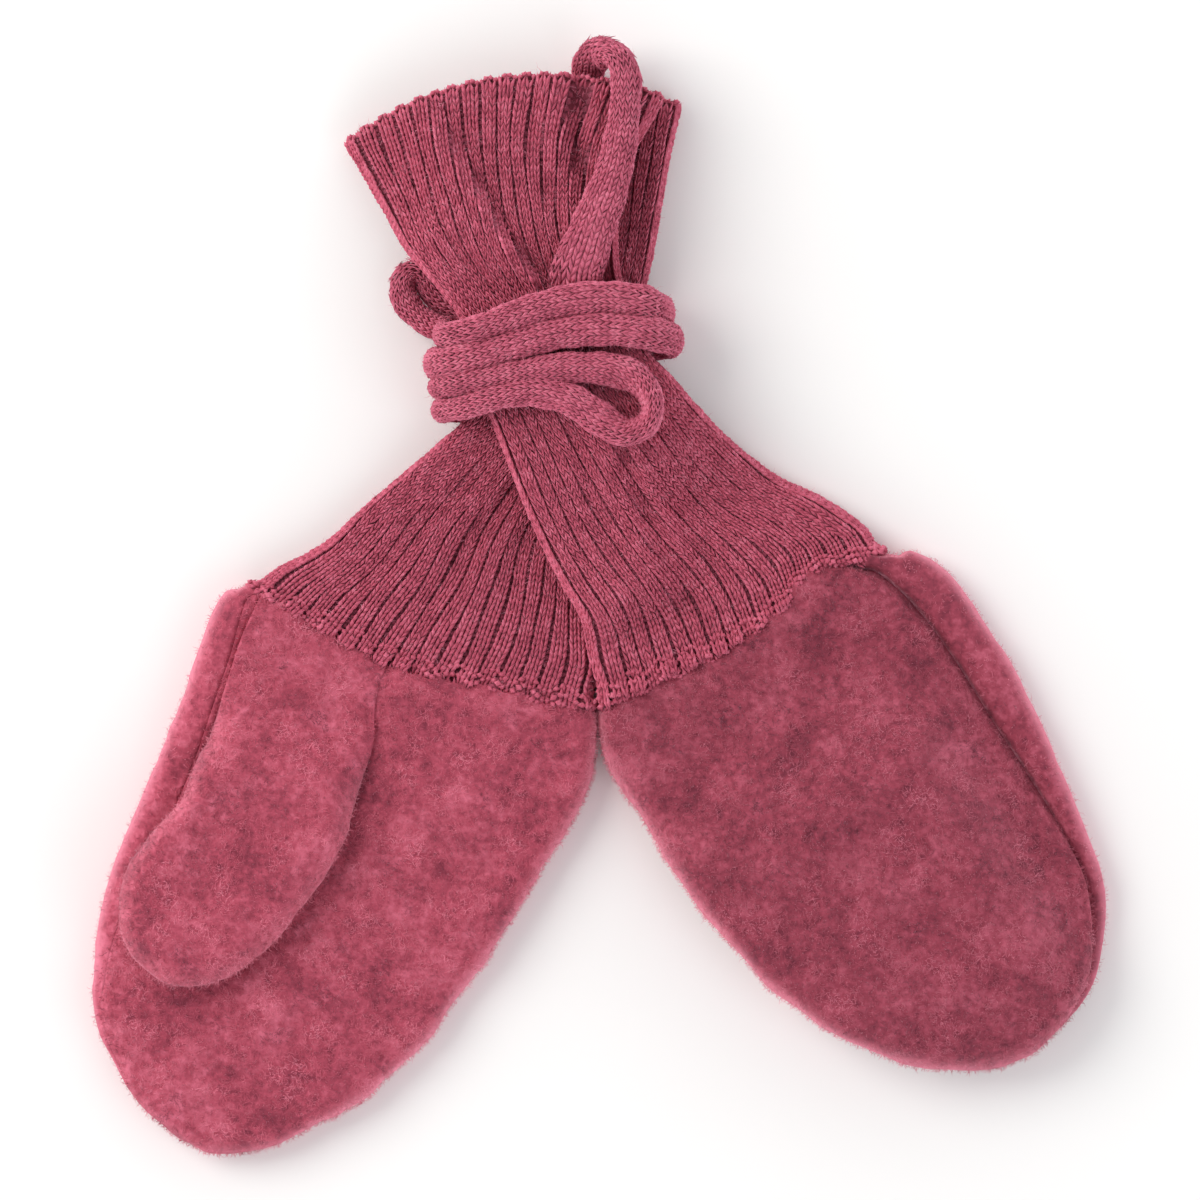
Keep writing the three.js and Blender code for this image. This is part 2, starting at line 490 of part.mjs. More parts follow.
// One fleece panel of a hand, from its seam to its spine, on the upper or the lower face.
function handPanel(hand, upper) {
  const place = placer(hand);
  const lines = pocketLines(hand.outline, hand.spine, [{ from: 0, steps: HAND_STEPS.along }]);
  const thumbSide = readColumn(SIDE_SEAMS, "reach", "thumbSide");
  const outerSide = readColumn(SIDE_SEAMS, "reach", "outerSide");
  const lastRow = HAND_STEPS.turn + HAND_STEPS.flat;
  const seamWay = (line) => {
    const way = (line.side ? outerSide : thumbSide)(line.reach);
    const towardsPalm = line.side ? -1 : 1;
    return way * towardsPalm * (hand.palmUp ? 1 : -1);
  };
  const face = upper ? 1 : -1;
  const wayAt = (line, j) => {
    const seam = seamWay(line);
    const from = seam + (face * SEAM_GAP) / 2;
    const turned = face * Math.max(ROW_SPREAD.pastRoll * QUARTER_TURN, face * seam + ROW_SPREAD.pastSeam);
    const end = face * (QUARTER_TURN + line.depth - HAND_ROLL);
    if (j <= HAND_STEPS.turn) return mix(from, turned, j / HAND_STEPS.turn);
    return mix(turned, end, ((j - HAND_STEPS.turn) / HAND_STEPS.flat) ** ROW_SPREAD.power);
  };
  const outer = [];
  const inner = [];
  lines.forEach((line, i) => {
    outer.push([]);
    inner.push([]);
    for (let j = 0; j <= lastRow; j += 1) {
      const way = wayAt(line, j);
      const point = handPoint(hand, place, line, way);
      const normal = rollNormal(hand, place, line, j ? way : seamWay(line));
      const dip = SEAM_DIP * Math.exp(-(((way - seamWay(line)) / SEAM_DIP_REACH) ** 2));
      const resting = point.z < RESTING_BELOW && !upper;
      outer[i].push(point.clone().addScaledVector(normal, resting ? 0 : -dip));
      inner[i].push(point.clone().addScaledVector(normal, -FLEECE));
    }
  });
  weldSpine(outer);
  weldSpine(inner);
  return pocketWall(outer, inner);
}

// The outward direction on a hand: in the plane of its line across, tilted by the roll, and
// leaning with the lift.
function rollNormal(hand, place, line, way) {
  const size = Math.abs(way);
  const face = Math.sign(way) || 1;
  const angle = Math.min(1, size / QUARTER_TURN) * (Math.PI / 2);
  const half = HAND_STACK / 2;
  const plan = planAt(line, HAND_ROLL * (1 - Math.cos(angle)) + Math.max(0, size - QUARTER_TURN));
  const inwards = line.middle.clone().sub(line.edge).setLength(FLEECE).add(plan);
  const outwards = new THREE.Vector2(...place(plan.x, plan.y))
    .sub(new THREE.Vector2(...place(inwards.x, inwards.y)))
    .normalize();
  const flat = half * Math.cos(angle);
  const rise = face * HAND_ROLL * Math.sin(angle);
  const STEP = 0.5;
  const slope = (dx, dy) =>
    (liftAt(hand, plan.x + dx, plan.y + dy) - liftAt(hand, plan.x - dx, plan.y - dy)) / (2 * STEP);
  const [acrossSlope, alongSlope] = [slope(STEP, 0), slope(0, STEP)];
  const angleOfHand = THREE.MathUtils.degToRad(hand.turn);
  const lean = [
    acrossSlope * Math.cos(angleOfHand) + alongSlope * Math.sin(angleOfHand),
    acrossSlope * Math.sin(angleOfHand) - alongSlope * Math.cos(angleOfHand),
  ];
  return new THREE.Vector3(
    outwards.x * flat - lean[0] * rise,
    outwards.y * flat - lean[1] * rise,
    rise,
  ).normalize();
}

// Where a sheet folds onto itself, each pair of points becomes their middle.
function weldSpine(sheet) {
  const last = sheet.length - 1;
  const row = sheet[0].length - 1;
  for (let i = 0; i < last / 2; i += 1) {
    const middle = sheet[i][row].clone().lerp(sheet[last - i][row], 0.5);
    sheet[i][row] = middle;
    sheet[last - i][row] = middle.clone();
  }
}

// The thumbs

// The height of the palm's outside where the thumb lies on it.
const palmLevel = (hand, along) =>
  hand.palmUp ? HAND_STACK + CROWN_UNDER_THUMB : THUMB_RISE * ease(along, THUMB_SWELL.from, THUMB_SWELL.to);

// A thumb panel: the outer one runs from the cuff seam to the thumb's tip, and the inner
// one from the crotch to the tip, on the palm.
function thumbPanel(hand, isOuter) {
  const place = placer(hand);
  const spans = isOuter
    ? [{ from: 0, steps: THUMB_STEPS.root }, { from: THUMB_CROTCH, steps: THUMB_STEPS.free }]
    : [{ from: THUMB_CROTCH + 2 * SEAM_GAP, steps: THUMB_STEPS.free }];
  const lines = pocketLines(hand.thumb.outline, hand.thumb.spine, spans);
  const away = hand.palmUp ? 1 : -1;
  const rowCount = THUMB_STEPS.turn + THUMB_STEPS.flat;
  const freedAt = (along) => ease(along, THUMB_EDGE_LIFT.from, THUMB_EDGE_LIFT.to);
  const edgeRise = THUMB_SEAM_RISE + (isOuter ? SEAM_GAP / 2 : -SEAM_GAP / 2);
  const heightAt = (along, share) => {
    const fullRise = isOuter ? THUMB_RISE * ease(along, THUMB_SWELL.from, THUMB_SWELL.to) : THUMB_REST;
    return mix(fullRise, edgeRise * freedAt(along), (1 - share) ** THUMB_SHOULDER);
  };
  const pointAt = (line, inset) => {
    const plan = planAt(line, inset);
    const z = palmLevel(hand, plan.y) + away * heightAt(plan.y, clamp(inset / THUMB_ROLL));
    return new THREE.Vector3(...place(plan.x, plan.y), z);
  };
  const insetAt = (line, j) =>
    j <= THUMB_STEPS.turn
      ? (THUMB_ROLL * j) / THUMB_STEPS.turn
      : mix(THUMB_ROLL, line.depth, (j - THUMB_STEPS.turn) / THUMB_STEPS.flat);
  const outwardUp = away * (isOuter ? 1 : -1);
  const outer = [];
  const inner = [];
  lines.forEach((line, i) => {
    outer.push([]);
    inner.push([]);
    for (let j = 0; j <= rowCount; j += 1) {
      const inset = insetAt(line, j);
      const point = pointAt(line, inset);
      const flatWay = pointAt(line, 0).sub(pointAt(line, 1)).setZ(0).normalize();
      const STEP = 0.05;
      const drop = (pointAt(line, inset + STEP).z - pointAt(line, Math.max(0, inset - STEP)).z) / (2 * STEP);
      const normal = new THREE.Vector3(0, 0, outwardUp).addScaledVector(flatWay, Math.abs(drop)).normalize();
      const freed = isOuter ? freedAt(line.edge.y) : 1;
      if (j === 0) {
        normal.set(0, 0, outwardUp * (1 - freed)).addScaledVector(flatWay, freed).normalize();
      }
      const inside = point.clone().addScaledVector(normal, -FLEECE);
      const seamLevel = pointAt(line, 0).z;
      if (freed > 0) {
        const past = Math.max(0, (seamLevel - inside.z) * outwardUp - 2 * FLEECE * (1 - freed));
        inside.z += past * outwardUp;
      }
      outer[i].push(point);
      inner[i].push(inside);
    }
  });
  weldSpine(outer);
  weldSpine(inner);
  return pocketWall(outer, inner);
}

// Cutting the thumb's root out of the palm

const wasm = await Module();
wasm.setup();

function solidFrom(geometry) {
  const bare = geometry.clone();
  bare.deleteAttribute("normal");
  bare.deleteAttribute("uv");
  const merged = mergeVertices(bare, SAME_PLACE);
  return new wasm.Manifold(
    new wasm.Mesh({
      numProp: 3,
      vertProperties: new Float32Array(merged.attributes.position.array),
      triVerts: new Uint32Array(merged.index.array),
    }),
  );
}

function geometryOf(solid) {
  const { vertProperties, triVerts } = solid.getMesh();
  const geometry = new THREE.BufferGeometry();
  geometry.setAttribute("position", new THREE.BufferAttribute(vertProperties, 3));
  geometry.setIndex(new THREE.BufferAttribute(triVerts, 1));
  return geometry;
}

function thumbRootCutter(hand) {
  const place = placer(hand);
  const rightAt = readColumn(hand.thumb.outline, "along", "right");
  const ABOVE_SEAM = -12;
  const PAST_THE_SIDE = -46;
  const CUT_STEPS = 10;
  const corners = [place(PAST_THE_SIDE, THUMB_CROTCH), place(PAST_THE_SIDE, ABOVE_SEAM)];
  for (let k = -1; k <= CUT_STEPS; k += 1) {
    const along = k < 0 ? ABOVE_SEAM : (THUMB_CROTCH * k) / CUT_STEPS;
    corners.push(place(rightAt(along) + SEAM_GAP, along));
  }
  const shape = new THREE.Shape(corners.map(([x, y]) => new THREE.Vector2(x, y)));
  const DEPTH = 40;
  const prism = new THREE.ExtrudeGeometry(shape, { depth: DEPTH, bevelEnabled: false });
  prism.translate(0, 0, -DEPTH / 2);
  return solidFrom(prism);
}

function palmGeometry(hand) {
  const whole = geometryFrom(handPanel(hand, hand.palmUp));
  return geometryOf(solidFrom(whole).subtract(thumbRootCutter(hand)));
}

// The cuffs

// A place on a flattened ring: its distance across and up from the middle and its outward
// direction, read by the length around from the left end over the top.
function stripPoint(halfWidth, radius, way) {
  const straight = 2 * (halfWidth - radius);
  const turn = (Math.PI * radius) / 2;
  const around = 2 * (straight + 2 * turn);
  const onTop = way <= around / 2;
  const along = onTop ? way : around - way;
  const up = onTop ? 1 : -1;
  if (along < turn) {
    const angle = along / radius;
    const [c, s] = [Math.cos(angle), Math.sin(angle)];
    return { across: radius - halfWidth - radius * c, up: up * radius * s, out: [-c, up * s] };
  }
  if (along <= turn + straight) {
    return { across: radius - halfWidth + along - turn, up: up * radius, out: [0, up] };
  }
  const angle = (turn * 2 + straight - along) / radius;
  const [c, s] = [Math.cos(angle), Math.sin(angle)];
  return { across: halfWidth - radius + radius * c, up: up * radius * s, out: [c, up * s] };
}

function foldDepth(folds, rowIndex, across) {
  return folds.reduce((sum, fold) => {
    const share = (rowIndex - fold.fromRow) / (fold.toRow - fold.fromRow);
    if (share < 0 || share > 1) return sum;
    const middle = mix(fold.from, fold.to, share);
    const width = mix(...fold.width, share);
    return sum + mix(...fold.depth, share) * Math.exp(-(((across - middle) / width) ** 2));
  }, 0);
}

// The outer and inner rings of one section of a cuff.
function cuffRings(cuff, rowIndex) {
  const row = cuff.rows[rowIndex];
  const count = RIBS_AROUND * POINTS_PER_RIB;
  const place = placer(cuff.hand);
  const opening = cuff.hand.outline[0];
  const seamMiddle = (opening.left + opening.right) / 2;
  const [left, right] = [new THREE.Vector2(...row.left), new THREE.Vector2(...row.right)];
  const middle = left.clone().add(right).multiplyScalar(0.5);
  const acrossWay = right.clone().sub(left).normalize();
  const rimWay = new THREE.Vector2(-acrossWay.y, acrossWay.x);
  const halfWidth = left.distanceTo(right) / 2 - RIB_HEIGHT;
  const radius = row.stack / 2 - RIB_HEIGHT;
  // A fold goes no deeper than the room between the cuff's two layers.
  const room = 2 * (radius - KNIT) - LAYER_GAP;
  const around = 4 * (halfWidth - radius) + 2 * Math.PI * radius;
  const angle = THREE.MathUtils.degToRad(cuff.hand.turn);
  const fingers = new THREE.Vector2(Math.sin(angle), -Math.cos(angle));
  const dipAt = readColumn(cuff.hand.seamLine, "across", "dip");
  const isRim = rowIndex === cuff.rows.length - 1;
  const ring = (every, raise) => {
    const points = [];
    for (let k = 0; k < count; k += every) {
      const strip = stripPoint(halfWidth, radius, (around * k) / count);
      const lift = raise(k);
      const across = strip.across + strip.out[0] * lift;
      const share = THREE.MathUtils.clamp(across / halfWidth, -1, 1);
      const plan = middle.clone().addScaledVector(acrossWay, across);
      plan.addScaledVector(rimWay, (row.bow ?? 0) * (1 - share * share));
      plan.addScaledVector(fingers, (row.follow ?? 0) * dipAt(across));
      if (rowIndex === 0) plan.set(...place(seamMiddle + across, -CUFF_SEAM_GAP));
      if (isRim && lift > 0) plan.addScaledVector(rimWay, RIM_SCALLOP);
      const low = mix(row.low[0], row.low[1], ease(share, row.ramp[0], row.ramp[1]));
      const gather = (row.gather ?? 0) * Math.sin(share * Math.PI * GATHERS_ACROSS);
      const folded = Math.min(room, foldDepth(cuff.folds, rowIndex, share)) * clamp(strip.up / radius);
      const z = low + row.stack / 2 + strip.up + strip.out[1] * lift + gather - folded;
      points.push(new THREE.Vector3(plan.x, plan.y, z));
    }
    return points;
  };
  return {
    outer: ring(1, (k) => (k % POINTS_PER_RIB ? RIB_HEIGHT : 0)),
    inner: ring(POINTS_PER_RIB, () => -KNIT),
  };
}

function cuffTriangles(cuff) {
  const rings = cuff.rows.map((_, rowIndex) => cuffRings(cuff, rowIndex));
  const faces = [];
  const band = (lower, upper) => {
    lower.forEach((_, k) => {
      const next = (k + 1) % lower.length;
      faces.push(...quad(lower[k], lower[next], upper[next], upper[k]));
    });
  };
  for (let r = 0; r + 1 < rings.length; r += 1) {
    band(rings[r].outer, rings[r + 1].outer);
    band(rings[r + 1].inner, rings[r].inner);
  }
  // A rim joins each inner point to the points of the rib outside it.
  const rim = ({ outer, inner }, flipped) => {
    inner.forEach((point, k) => {
      const ahead = inner[(k + 1) % inner.length];
      const outside = (step) => outer[(k * POINTS_PER_RIB + step) % outer.length];
      const fan = [[point, ahead, outside(POINTS_PER_RIB)]];
      for (let step = POINTS_PER_RIB; step > 0; step -= 1) {
        fan.push([point, outside(step), outside(step - 1)]);
      }
      faces.push(...fan.map(([a, b, c]) => (flipped ? [a, c, b] : [a, b, c])));
    });
  };
  rim(rings[0], false);
  rim(rings[rings.length - 1], true);
  return facingOut(faces);
}

// The cord

function cordTriangles(rows) {
  const route = new THREE.CatmullRomCurve3(
    rows.map((row) => new THREE.Vector3(...row.at)),
    false,
    "centripetal",
  );
  const steps = Math.max(rows.length, Math.round(route.getLength() / CORD_STEP));
  const rings = [];
  for (let k = 0; k <= steps; k += 1) {
    const t = route.getUtoTmapping(k / steps);
    const place = t * (rows.length - 1);
    const i = Math.min(rows.length - 2, Math.floor(place));
    const [a, b, share] = [rows[i], rows[i + 1], place - i];
    const forward = route.getTangent(t);
    const sideways = new THREE.Vector3(...a.side).lerp(new THREE.Vector3(...b.side), share);
    sideways.addScaledVector(forward, -sideways.dot(forward)).normalize();
    const upwards = new THREE.Vector3().crossVectors(forward, sideways);
    const middle = route.getPoint(t);
    const ring = [];
    for (let n = 0; n < CORD_SIDES; n += 1) {
      const angle = (2 * Math.PI * n) / CORD_SIDES;
      const point = middle.clone();
      point.addScaledVector(sideways, (mix(a.wide, b.wide, share) / 2) * Math.cos(angle));
      point.addScaledVector(upwards, (mix(a.thick, b.thick, share) / 2) * Math.sin(angle));
      ring.push(point);
    }
    rings.push(ring);
  }
  const faces = [];
  for (let k = 0; k < steps; k += 1) {
    for (let n = 0; n < CORD_SIDES; n += 1) {
      const next = (n + 1) % CORD_SIDES;
      faces.push(...quad(rings[k][n], rings[k][next], rings[k + 1][next], rings[k + 1][n]));
    }
  }
  const cap = (ring, flipped) => {
    for (let n = 1; n + 1 < CORD_SIDES; n += 1) {
      const corners = [ring[0], ring[n], ring[n + 1]];
      faces.push(flipped ? corners : [corners[0], corners[2], corners[1]]);
    }
  };
  cap(rings[0], false);
  cap(rings[steps], true);
  return facingOut(faces);
}

// The whole pair

const pair = new THREE.Group();

function add(name, geometry, look) {
  geometry.computeVertexNormals();
  const mesh = new THREE.Mesh(geometry, new THREE.MeshStandardMaterial(look));
  mesh.name = name;
  pair.add(mesh);
}

for (const [name, hand, cuff] of [
  ["right", RIGHT_HAND, RIGHT_CUFF],
  ["left", LEFT_HAND, LEFT_CUFF],
]) {
  add(`${name}_back_panel`, geometryFrom(handPanel(hand, !hand.palmUp)), fleeceLook);
  add(`${name}_palm_panel`, palmGeometry(hand), fleeceLook);
  add(`${name}_thumb_outer`, geometryFrom(thumbPanel(hand, true)), fleeceLook);
  add(`${name}_thumb_inner`, geometryFrom(thumbPanel(hand, false)), fleeceLook);
  add(`${name}_cuff`, geometryFrom(cuffTriangles(cuff)), knitLook);
}
for (const [name, rows] of Object.entries(CORDS)) {
  add(name, geometryFrom(cordTriangles(rows)), cordLook);
}

export default pair;
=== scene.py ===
"""Looks of a pair of fleece baby mittens, tied together at their rib-knit cuffs by a cord.

Shapes are worked out in millimetres in the part's own frame and become metres when a mesh
is made. The right mitten lies palm up and the left one back up, seen from above.
"""

import math

import bpy
import numpy as np
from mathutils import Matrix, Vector


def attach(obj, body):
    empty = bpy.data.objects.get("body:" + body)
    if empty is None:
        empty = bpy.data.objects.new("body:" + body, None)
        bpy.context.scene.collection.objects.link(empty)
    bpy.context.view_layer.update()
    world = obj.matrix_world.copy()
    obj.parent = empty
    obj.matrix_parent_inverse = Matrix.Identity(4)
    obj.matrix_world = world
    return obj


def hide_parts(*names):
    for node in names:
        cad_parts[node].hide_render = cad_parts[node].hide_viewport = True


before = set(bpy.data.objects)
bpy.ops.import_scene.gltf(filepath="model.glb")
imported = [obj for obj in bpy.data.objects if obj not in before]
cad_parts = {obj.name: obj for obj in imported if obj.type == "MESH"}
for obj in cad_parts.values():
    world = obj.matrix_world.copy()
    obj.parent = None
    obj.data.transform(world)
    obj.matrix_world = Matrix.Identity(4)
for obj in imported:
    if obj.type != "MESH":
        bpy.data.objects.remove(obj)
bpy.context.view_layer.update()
MM = 0.001

# Photograph: where a pixel lies on the surface, and the camera's long lens above it
MM_PER_PIXEL = 0.19
PHOTO_SIZE = 1200
PHOTO_ORIGIN = (599.0, 614.5)
CAMERA_HEIGHT = 1500.0
PICTURE_LEVEL = 10.0
SENSOR = 36.0

# Thickness of the shells, and how far the lowest points stay above the floor
FLEECE_SHELL = 2.1
KNIT_SHELL = 1.2
FLOOR_ROOM = 0.02

# Soft hills in the fleece: their height, their size and the seed of their waves
HAND_HILLS = ((0.42, 17.0, 3), (0.2, 5.5, 4))
THUMB_HILLS = ((0.3, 14.0, 5), (0.15, 5.0, 6))

# Loose fibres: how long and wide they are, and how steeply they stand. A wool fibre is about
# 0.03 mm thick, too fine to show, so these are drawn as coarse as they need to show.
FLEECE_FIBRES = {"length": 1.6, "width": 0.1, "stand": 0.9}
CUFF_HAIRS = {"length": 2.0, "width": 0.07, "stand": 1.6}
CORD_HAIRS = {"length": 1.8, "width": 0.06, "stand": 1.5}
HAIRS_ON_A_CUFF = 12000
CORD_HAIRS_PER_MM = 12

# Where the knit lies over its ground: on the ribs, in the valleys and on the cord
RIB_LEVEL, VALLEY_LEVEL, CORD_LEVEL = 0.32, -0.45, 0.12
GROUND_LEVEL, GROUND_VALLEY = 0.15, 0.75

# Hands: height of both layers, the crown above them, the rolled edge and the wavy seam line
HAND_STACK = 7.6
HAND_CROWN = 1.0
HAND_ROLL = 4.6
QUARTER_TURN = (math.pi / 4) * (HAND_ROLL + HAND_STACK / 2)
SEAM_LINE_REACH = 25.0
SEAM_WAVE = 0.3
SEAM_WAVE_REACH = 7.0

# Valleys pressed into the fleece: at the side seams, at the cuff and at the thumb's root
SIDE_VALLEY, SIDE_CREASE = 2.2, 0.9
CUFF_PRESS, CUFF_VALLEY = 0.6, 1.5
ROOT_PRESS, ROOT_CREASE, ROOT_VALLEY = 1.4, 0.6, 1.6
ROOT_CREASE_ACROSS, ROOT_CREASE_ALONG = (-22.0, -12.0), (26.0, 38.0)

# Thumbs: how far they rise, and where along the hand they swell, lift off and come free
THUMB_RISE = 7.9
THUMB_REST = 0.5
THUMB_SEAM_RISE = 3.6
THUMB_ROLL = 6.0
THUMB_SWELL = (14.0, 43.0)
THUMB_EDGE_LIFT = (30.0, 38.9)
THUMB_CROTCH = 39.0

# How far the palm runs on under the thumb's root, and the cuff under the fleece's edge
ROOT_TUCK = 3.0
CUFF_TUCK = 1.2

# Painted highlight where the fleece turns down at its sides: least on the thumbs, and not beside a
# seam
EDGE_LIGHT_TILT = (0.06, 0.6)
THUMB_EDGE_LIGHT = 0.3
EDGE_LIGHT_OFF_SEAM = 2.6

# Cuffs: ribs, the scallops and the curl of the rim, and the lumps where they are sewn on
RIBS_AROUND = 36
RIB_HEIGHT = 0.6
RIM_SCALLOP = 0.7
RIM_CURL = 0.8
SEAM_PUCKER = 1.6
SEAM_TUCK = 0.45
RIB_WANDER = 0.07

# How much wider the soft cord lies than its solid, so that its turns press together, and how
# far its ground lies inside the stitches
CORD_PRESS = 0.35
CORD_GROUND_DEPTH = 0.45

# What shows of each sheet laid flat, in metres, and its area in square metres
PANEL_FLAT, BACK_AREA, PALM_AREA = (0.084, 0.108), 0.0072, 0.0064
THUMB_OUTER_FLAT, THUMB_OUTER_AREA = (0.036, 0.082), 0.0025
THUMB_INNER_FLAT, THUMB_INNER_AREA = (0.036, 0.042), 0.0012

rng = np.random.default_rng(7)


def table(columns, *rows):
    """A small table as one array for each named column. A short row ends like the one above."""
    full = [rows[0]]
    for row in rows[1:]:
        full.append([*row, *full[-1][len(row) :]])
    return {name: np.array(values, float) for name, values in zip(columns.split(), zip(*full))}


# How far in from a hand's edge its two side seams run, by the share of the way to the tip
SIDE_SEAMS = table(
    "reach thumb_side outer_side",
    (0.0, 5.3, 10.0), (0.08, 7.8, 11.0), (0.2, 8.4, 11.0), (0.35, 9.0, 10.4), (0.5, 8.0, 7.9),
    (0.65, 5.0, 4.8), (0.8, 2.2, 2.2), (0.91, 0.7, 0.7), (1.0, 0.0, 0.0),
)

# A crease in a cloth's upper face runs from one place to another
CREASE_COLUMNS = "across along to_across to_along depth width"

RIGHT_HAND = {
    "seat": (-34.0, -5.8),
    "turn": math.radians(-21.4),
    "seam_press": 0.12,
    "palm_up": True,
    "outline": table(
        "along left right",
        (0, -35.5, 35.3), (3, -38.3, 37.3), (8, -39.3, 38.7), (14, -39.2, 39.6),
        (30, -38.9, 37.6), (46, -39.0, 34.8), (60, -39.3, 31.4), (72, -37.9, 27.9),
        (82, -35.3, 22.6), (91, -30.4, 16.3), (99, -22.2, 9.3), (105.1, -4.5, -4.5),
    ),
    "spine": (72.0, 0.0, -5.0),
    "seam_line": table(
        "across dip",
        (-35.5, 1.0), (-25, 2.8), (-14, 4.7), (-4, 5.8), (6, 4.8), (17, 2.4), (29, 0.8),
        (35.3, -1.1),
    ),
    "thumb_outline": table(
        "along left right",
        (0, -31.6, -4.6), (9, -32.2, -4.0), (22, -31.6, -1.2), (34, -31.3, -0.6),
        (43, -31.4, 0.0), (52, -34.6, -2.0), (62, -36.0, -5.2), (70, -33.9, -9.2),
        (75, -29.0, -14.6), (77.3, -21.5, -21.5),
    ),
    "thumb_spine": (58.0, -18.0, -3.0),
    "lift": None,
    "creases": table(
        CREASE_COLUMNS,
        (6, 3, 9, 19, 0.75, 2.2),
        (15, 2, 15.5, 13, 0.5, 1.8),
        (24, 2, 27, 22, 0.7, 2.4),
        (31, 4, 33, 14, 0.4, 1.6),
        (4, 34, 21, 44, 0.45, 4.0),
        (2, 62, 16, 74, 0.35, 4.5),
        (-20, 82, -6, 90, 0.3, 4.0),
    ),
}

LEFT_HAND = {
    "seat": (26.8, -2.6),
    "turn": math.radians(31.06),
    "seam_press": 1.5,
    "palm_up": False,
    "outline": table(
        "along left right",
        (0, -31.0, 31.0), (3, -33.0, 36.4), (8, -34.8, 38.9), (16, -34.8, 40.4),
        (32, -34.4, 41.0), (46, -33.5, 39.9), (58, -31.5, 38.2), (68, -27.9, 36.6),
        (78, -22.6, 34.4), (87, -16.2, 28.9), (94.5, -8.3, 21.3), (98.7, 5.5, 5.5),
    ),
    "spine": (66.0, 0.0, 5.0),
    "seam_line": table(
        "across dip",
        (-31, -1.2), (-14, 0.8), (-3, 2.2), (8, 0.8), (17, -2.6), (24, -0.7), (31, 1.4),
    ),
    "thumb_outline": table(
        "along left right",
        (0, -26.8, 2.0), (9, -27.8, 3.0), (22, -27.4, 6.0), (34, -26.8, 7.6), (43, -26.6, 8.5),
        (52, -27.4, 6.4), (62, -27.5, 3.3), (70, -25.0, -0.8), (75, -20.4, -6.2),
        (77.3, -13.5, -13.5),
    ),
    "thumb_spine": (58.0, -12.0, 0.0),
    "lift": {"tip": (78.0, 108.0), "side": (11.0, 31.0)},
    "creases": table(
        CREASE_COLUMNS,
        (-22, 1, -20, 14, 0.5, 2.0),
        (-12, 2, -14, 18, 0.6, 2.4),
        (-1, 3, 1, 15, 0.55, 2.0),
        (9, 1, 13, 20, 0.8, 2.6),
        (20, 0, 23, 16, 0.6, 2.2),
        (-18, 40, 4, 50, 0.35, 5.0),
        (8, 74, 24, 66, 0.3, 5.0),
    ),
}

# A row across a cuff: its two edges, how high they lie, where between them the rise runs, the
# height of its two layers, how far it follows the hand's seam, its gathers and its bow.
CUFF_COLUMNS = (
    "left_x left_y right_x right_y low_left low_right ramp_from ramp_to stack follow gather bow"
)

# A fold runs from one row and place across the cuff to another. Its depth and half width
# change on the way, a negative depth is a ridge, and skew widens its right side.
FOLD_COLUMNS = "from_row to_row from_share to_share depth to_depth width to_width skew"

RIGHT_CUFF = {
    "hand": RIGHT_HAND,
    "rows": table(
        CUFF_COLUMNS,
        (-67.0, 6.9, -0.6, -18.4, 0, 0, -1, 1, 7.6, 1, 0, 0),
        (-60.0, 10.2, 0.2, -8.6, 0, 0, -1, 1, 7.0, 0.6, 0, 0),
        (-52.2, 14.2, 0.0, 0.5, 0, 0, -1, 1, 6.6, 0.25, 0, 0),
        (-45.0, 20.4, -0.4, 10.0, 0, 0, -1, 1, 6.2, 0, 0, 0),
        (-37.8, 26.5, 2.1, 19.5, 0.6, 0.6, -1, 1, 6.0, 0, 0, 0),
        (-30.6, 32.6, 4.7, 27.6, 3.4, 3.0, -1, 1, 5.8, 0, 0.1, 0),
        (-25.2, 38.0, 6.9, 35.6, 5.1, 5.1, -1, 1, 5.6, 0, 0.2, 0),
        (-24.4, 45.6, 9.2, 44.2, 5.2, 5.2, -1, 1, 5.4, 0, 0.3, 0),
        (-24.4, 52.2, 10.0, 52.2, 5.2, 5.2, -1, 1, 5.4, 0, 0.4, 0),
        (-24.0, 59.8, 8.8, 59.8, 5.0, 5.0, -1, 1, 5.4, 0, 0.3, 0),
        (-24.6, 69.3, 10.6, 69.3, 4.7, 4.0, -1, 1, 5.6, 0, 0.2, 0),
        (-26.0, 78.8, 12.3, 79.7, 1.6, 1.4, -1, 1, 5.8, 0, 0.1, 0),
        (-26.8, 87.3, 13.9, 88.6, 0, 0, -1, 1, 6.0, 0, 0, 0),
        (-27.4, 94.9, 16.0, 97.8, 0, 0, -1, 1, 6.2, 0, 0, 1.5),
    ),
    "folds": table(
        FOLD_COLUMNS,
        (1, 5, -0.2, 0.1, 0.8, 1.7, 0.14, 0.1, 0.3),
        (10, 14, 0.62, 0.72, 1.8, 1.6, 0.15, 0.13, 0),
        (0.6, 5, 0.3, 0.52, 0.4, 1.1, 0.08, 0.07, -0.3),
        (0.8, 4.6, -0.62, -0.4, 0.5, 1.0, 0.1, 0.08, 0),
        (0.4, 5, 0.05, 0.3, -0.3, -0.6, 0.12, 0.08, 0),
        (10, 14, 0.84, 0.9, 0.8, 0.5, 0.06, 0.08, 0),
    ),
}

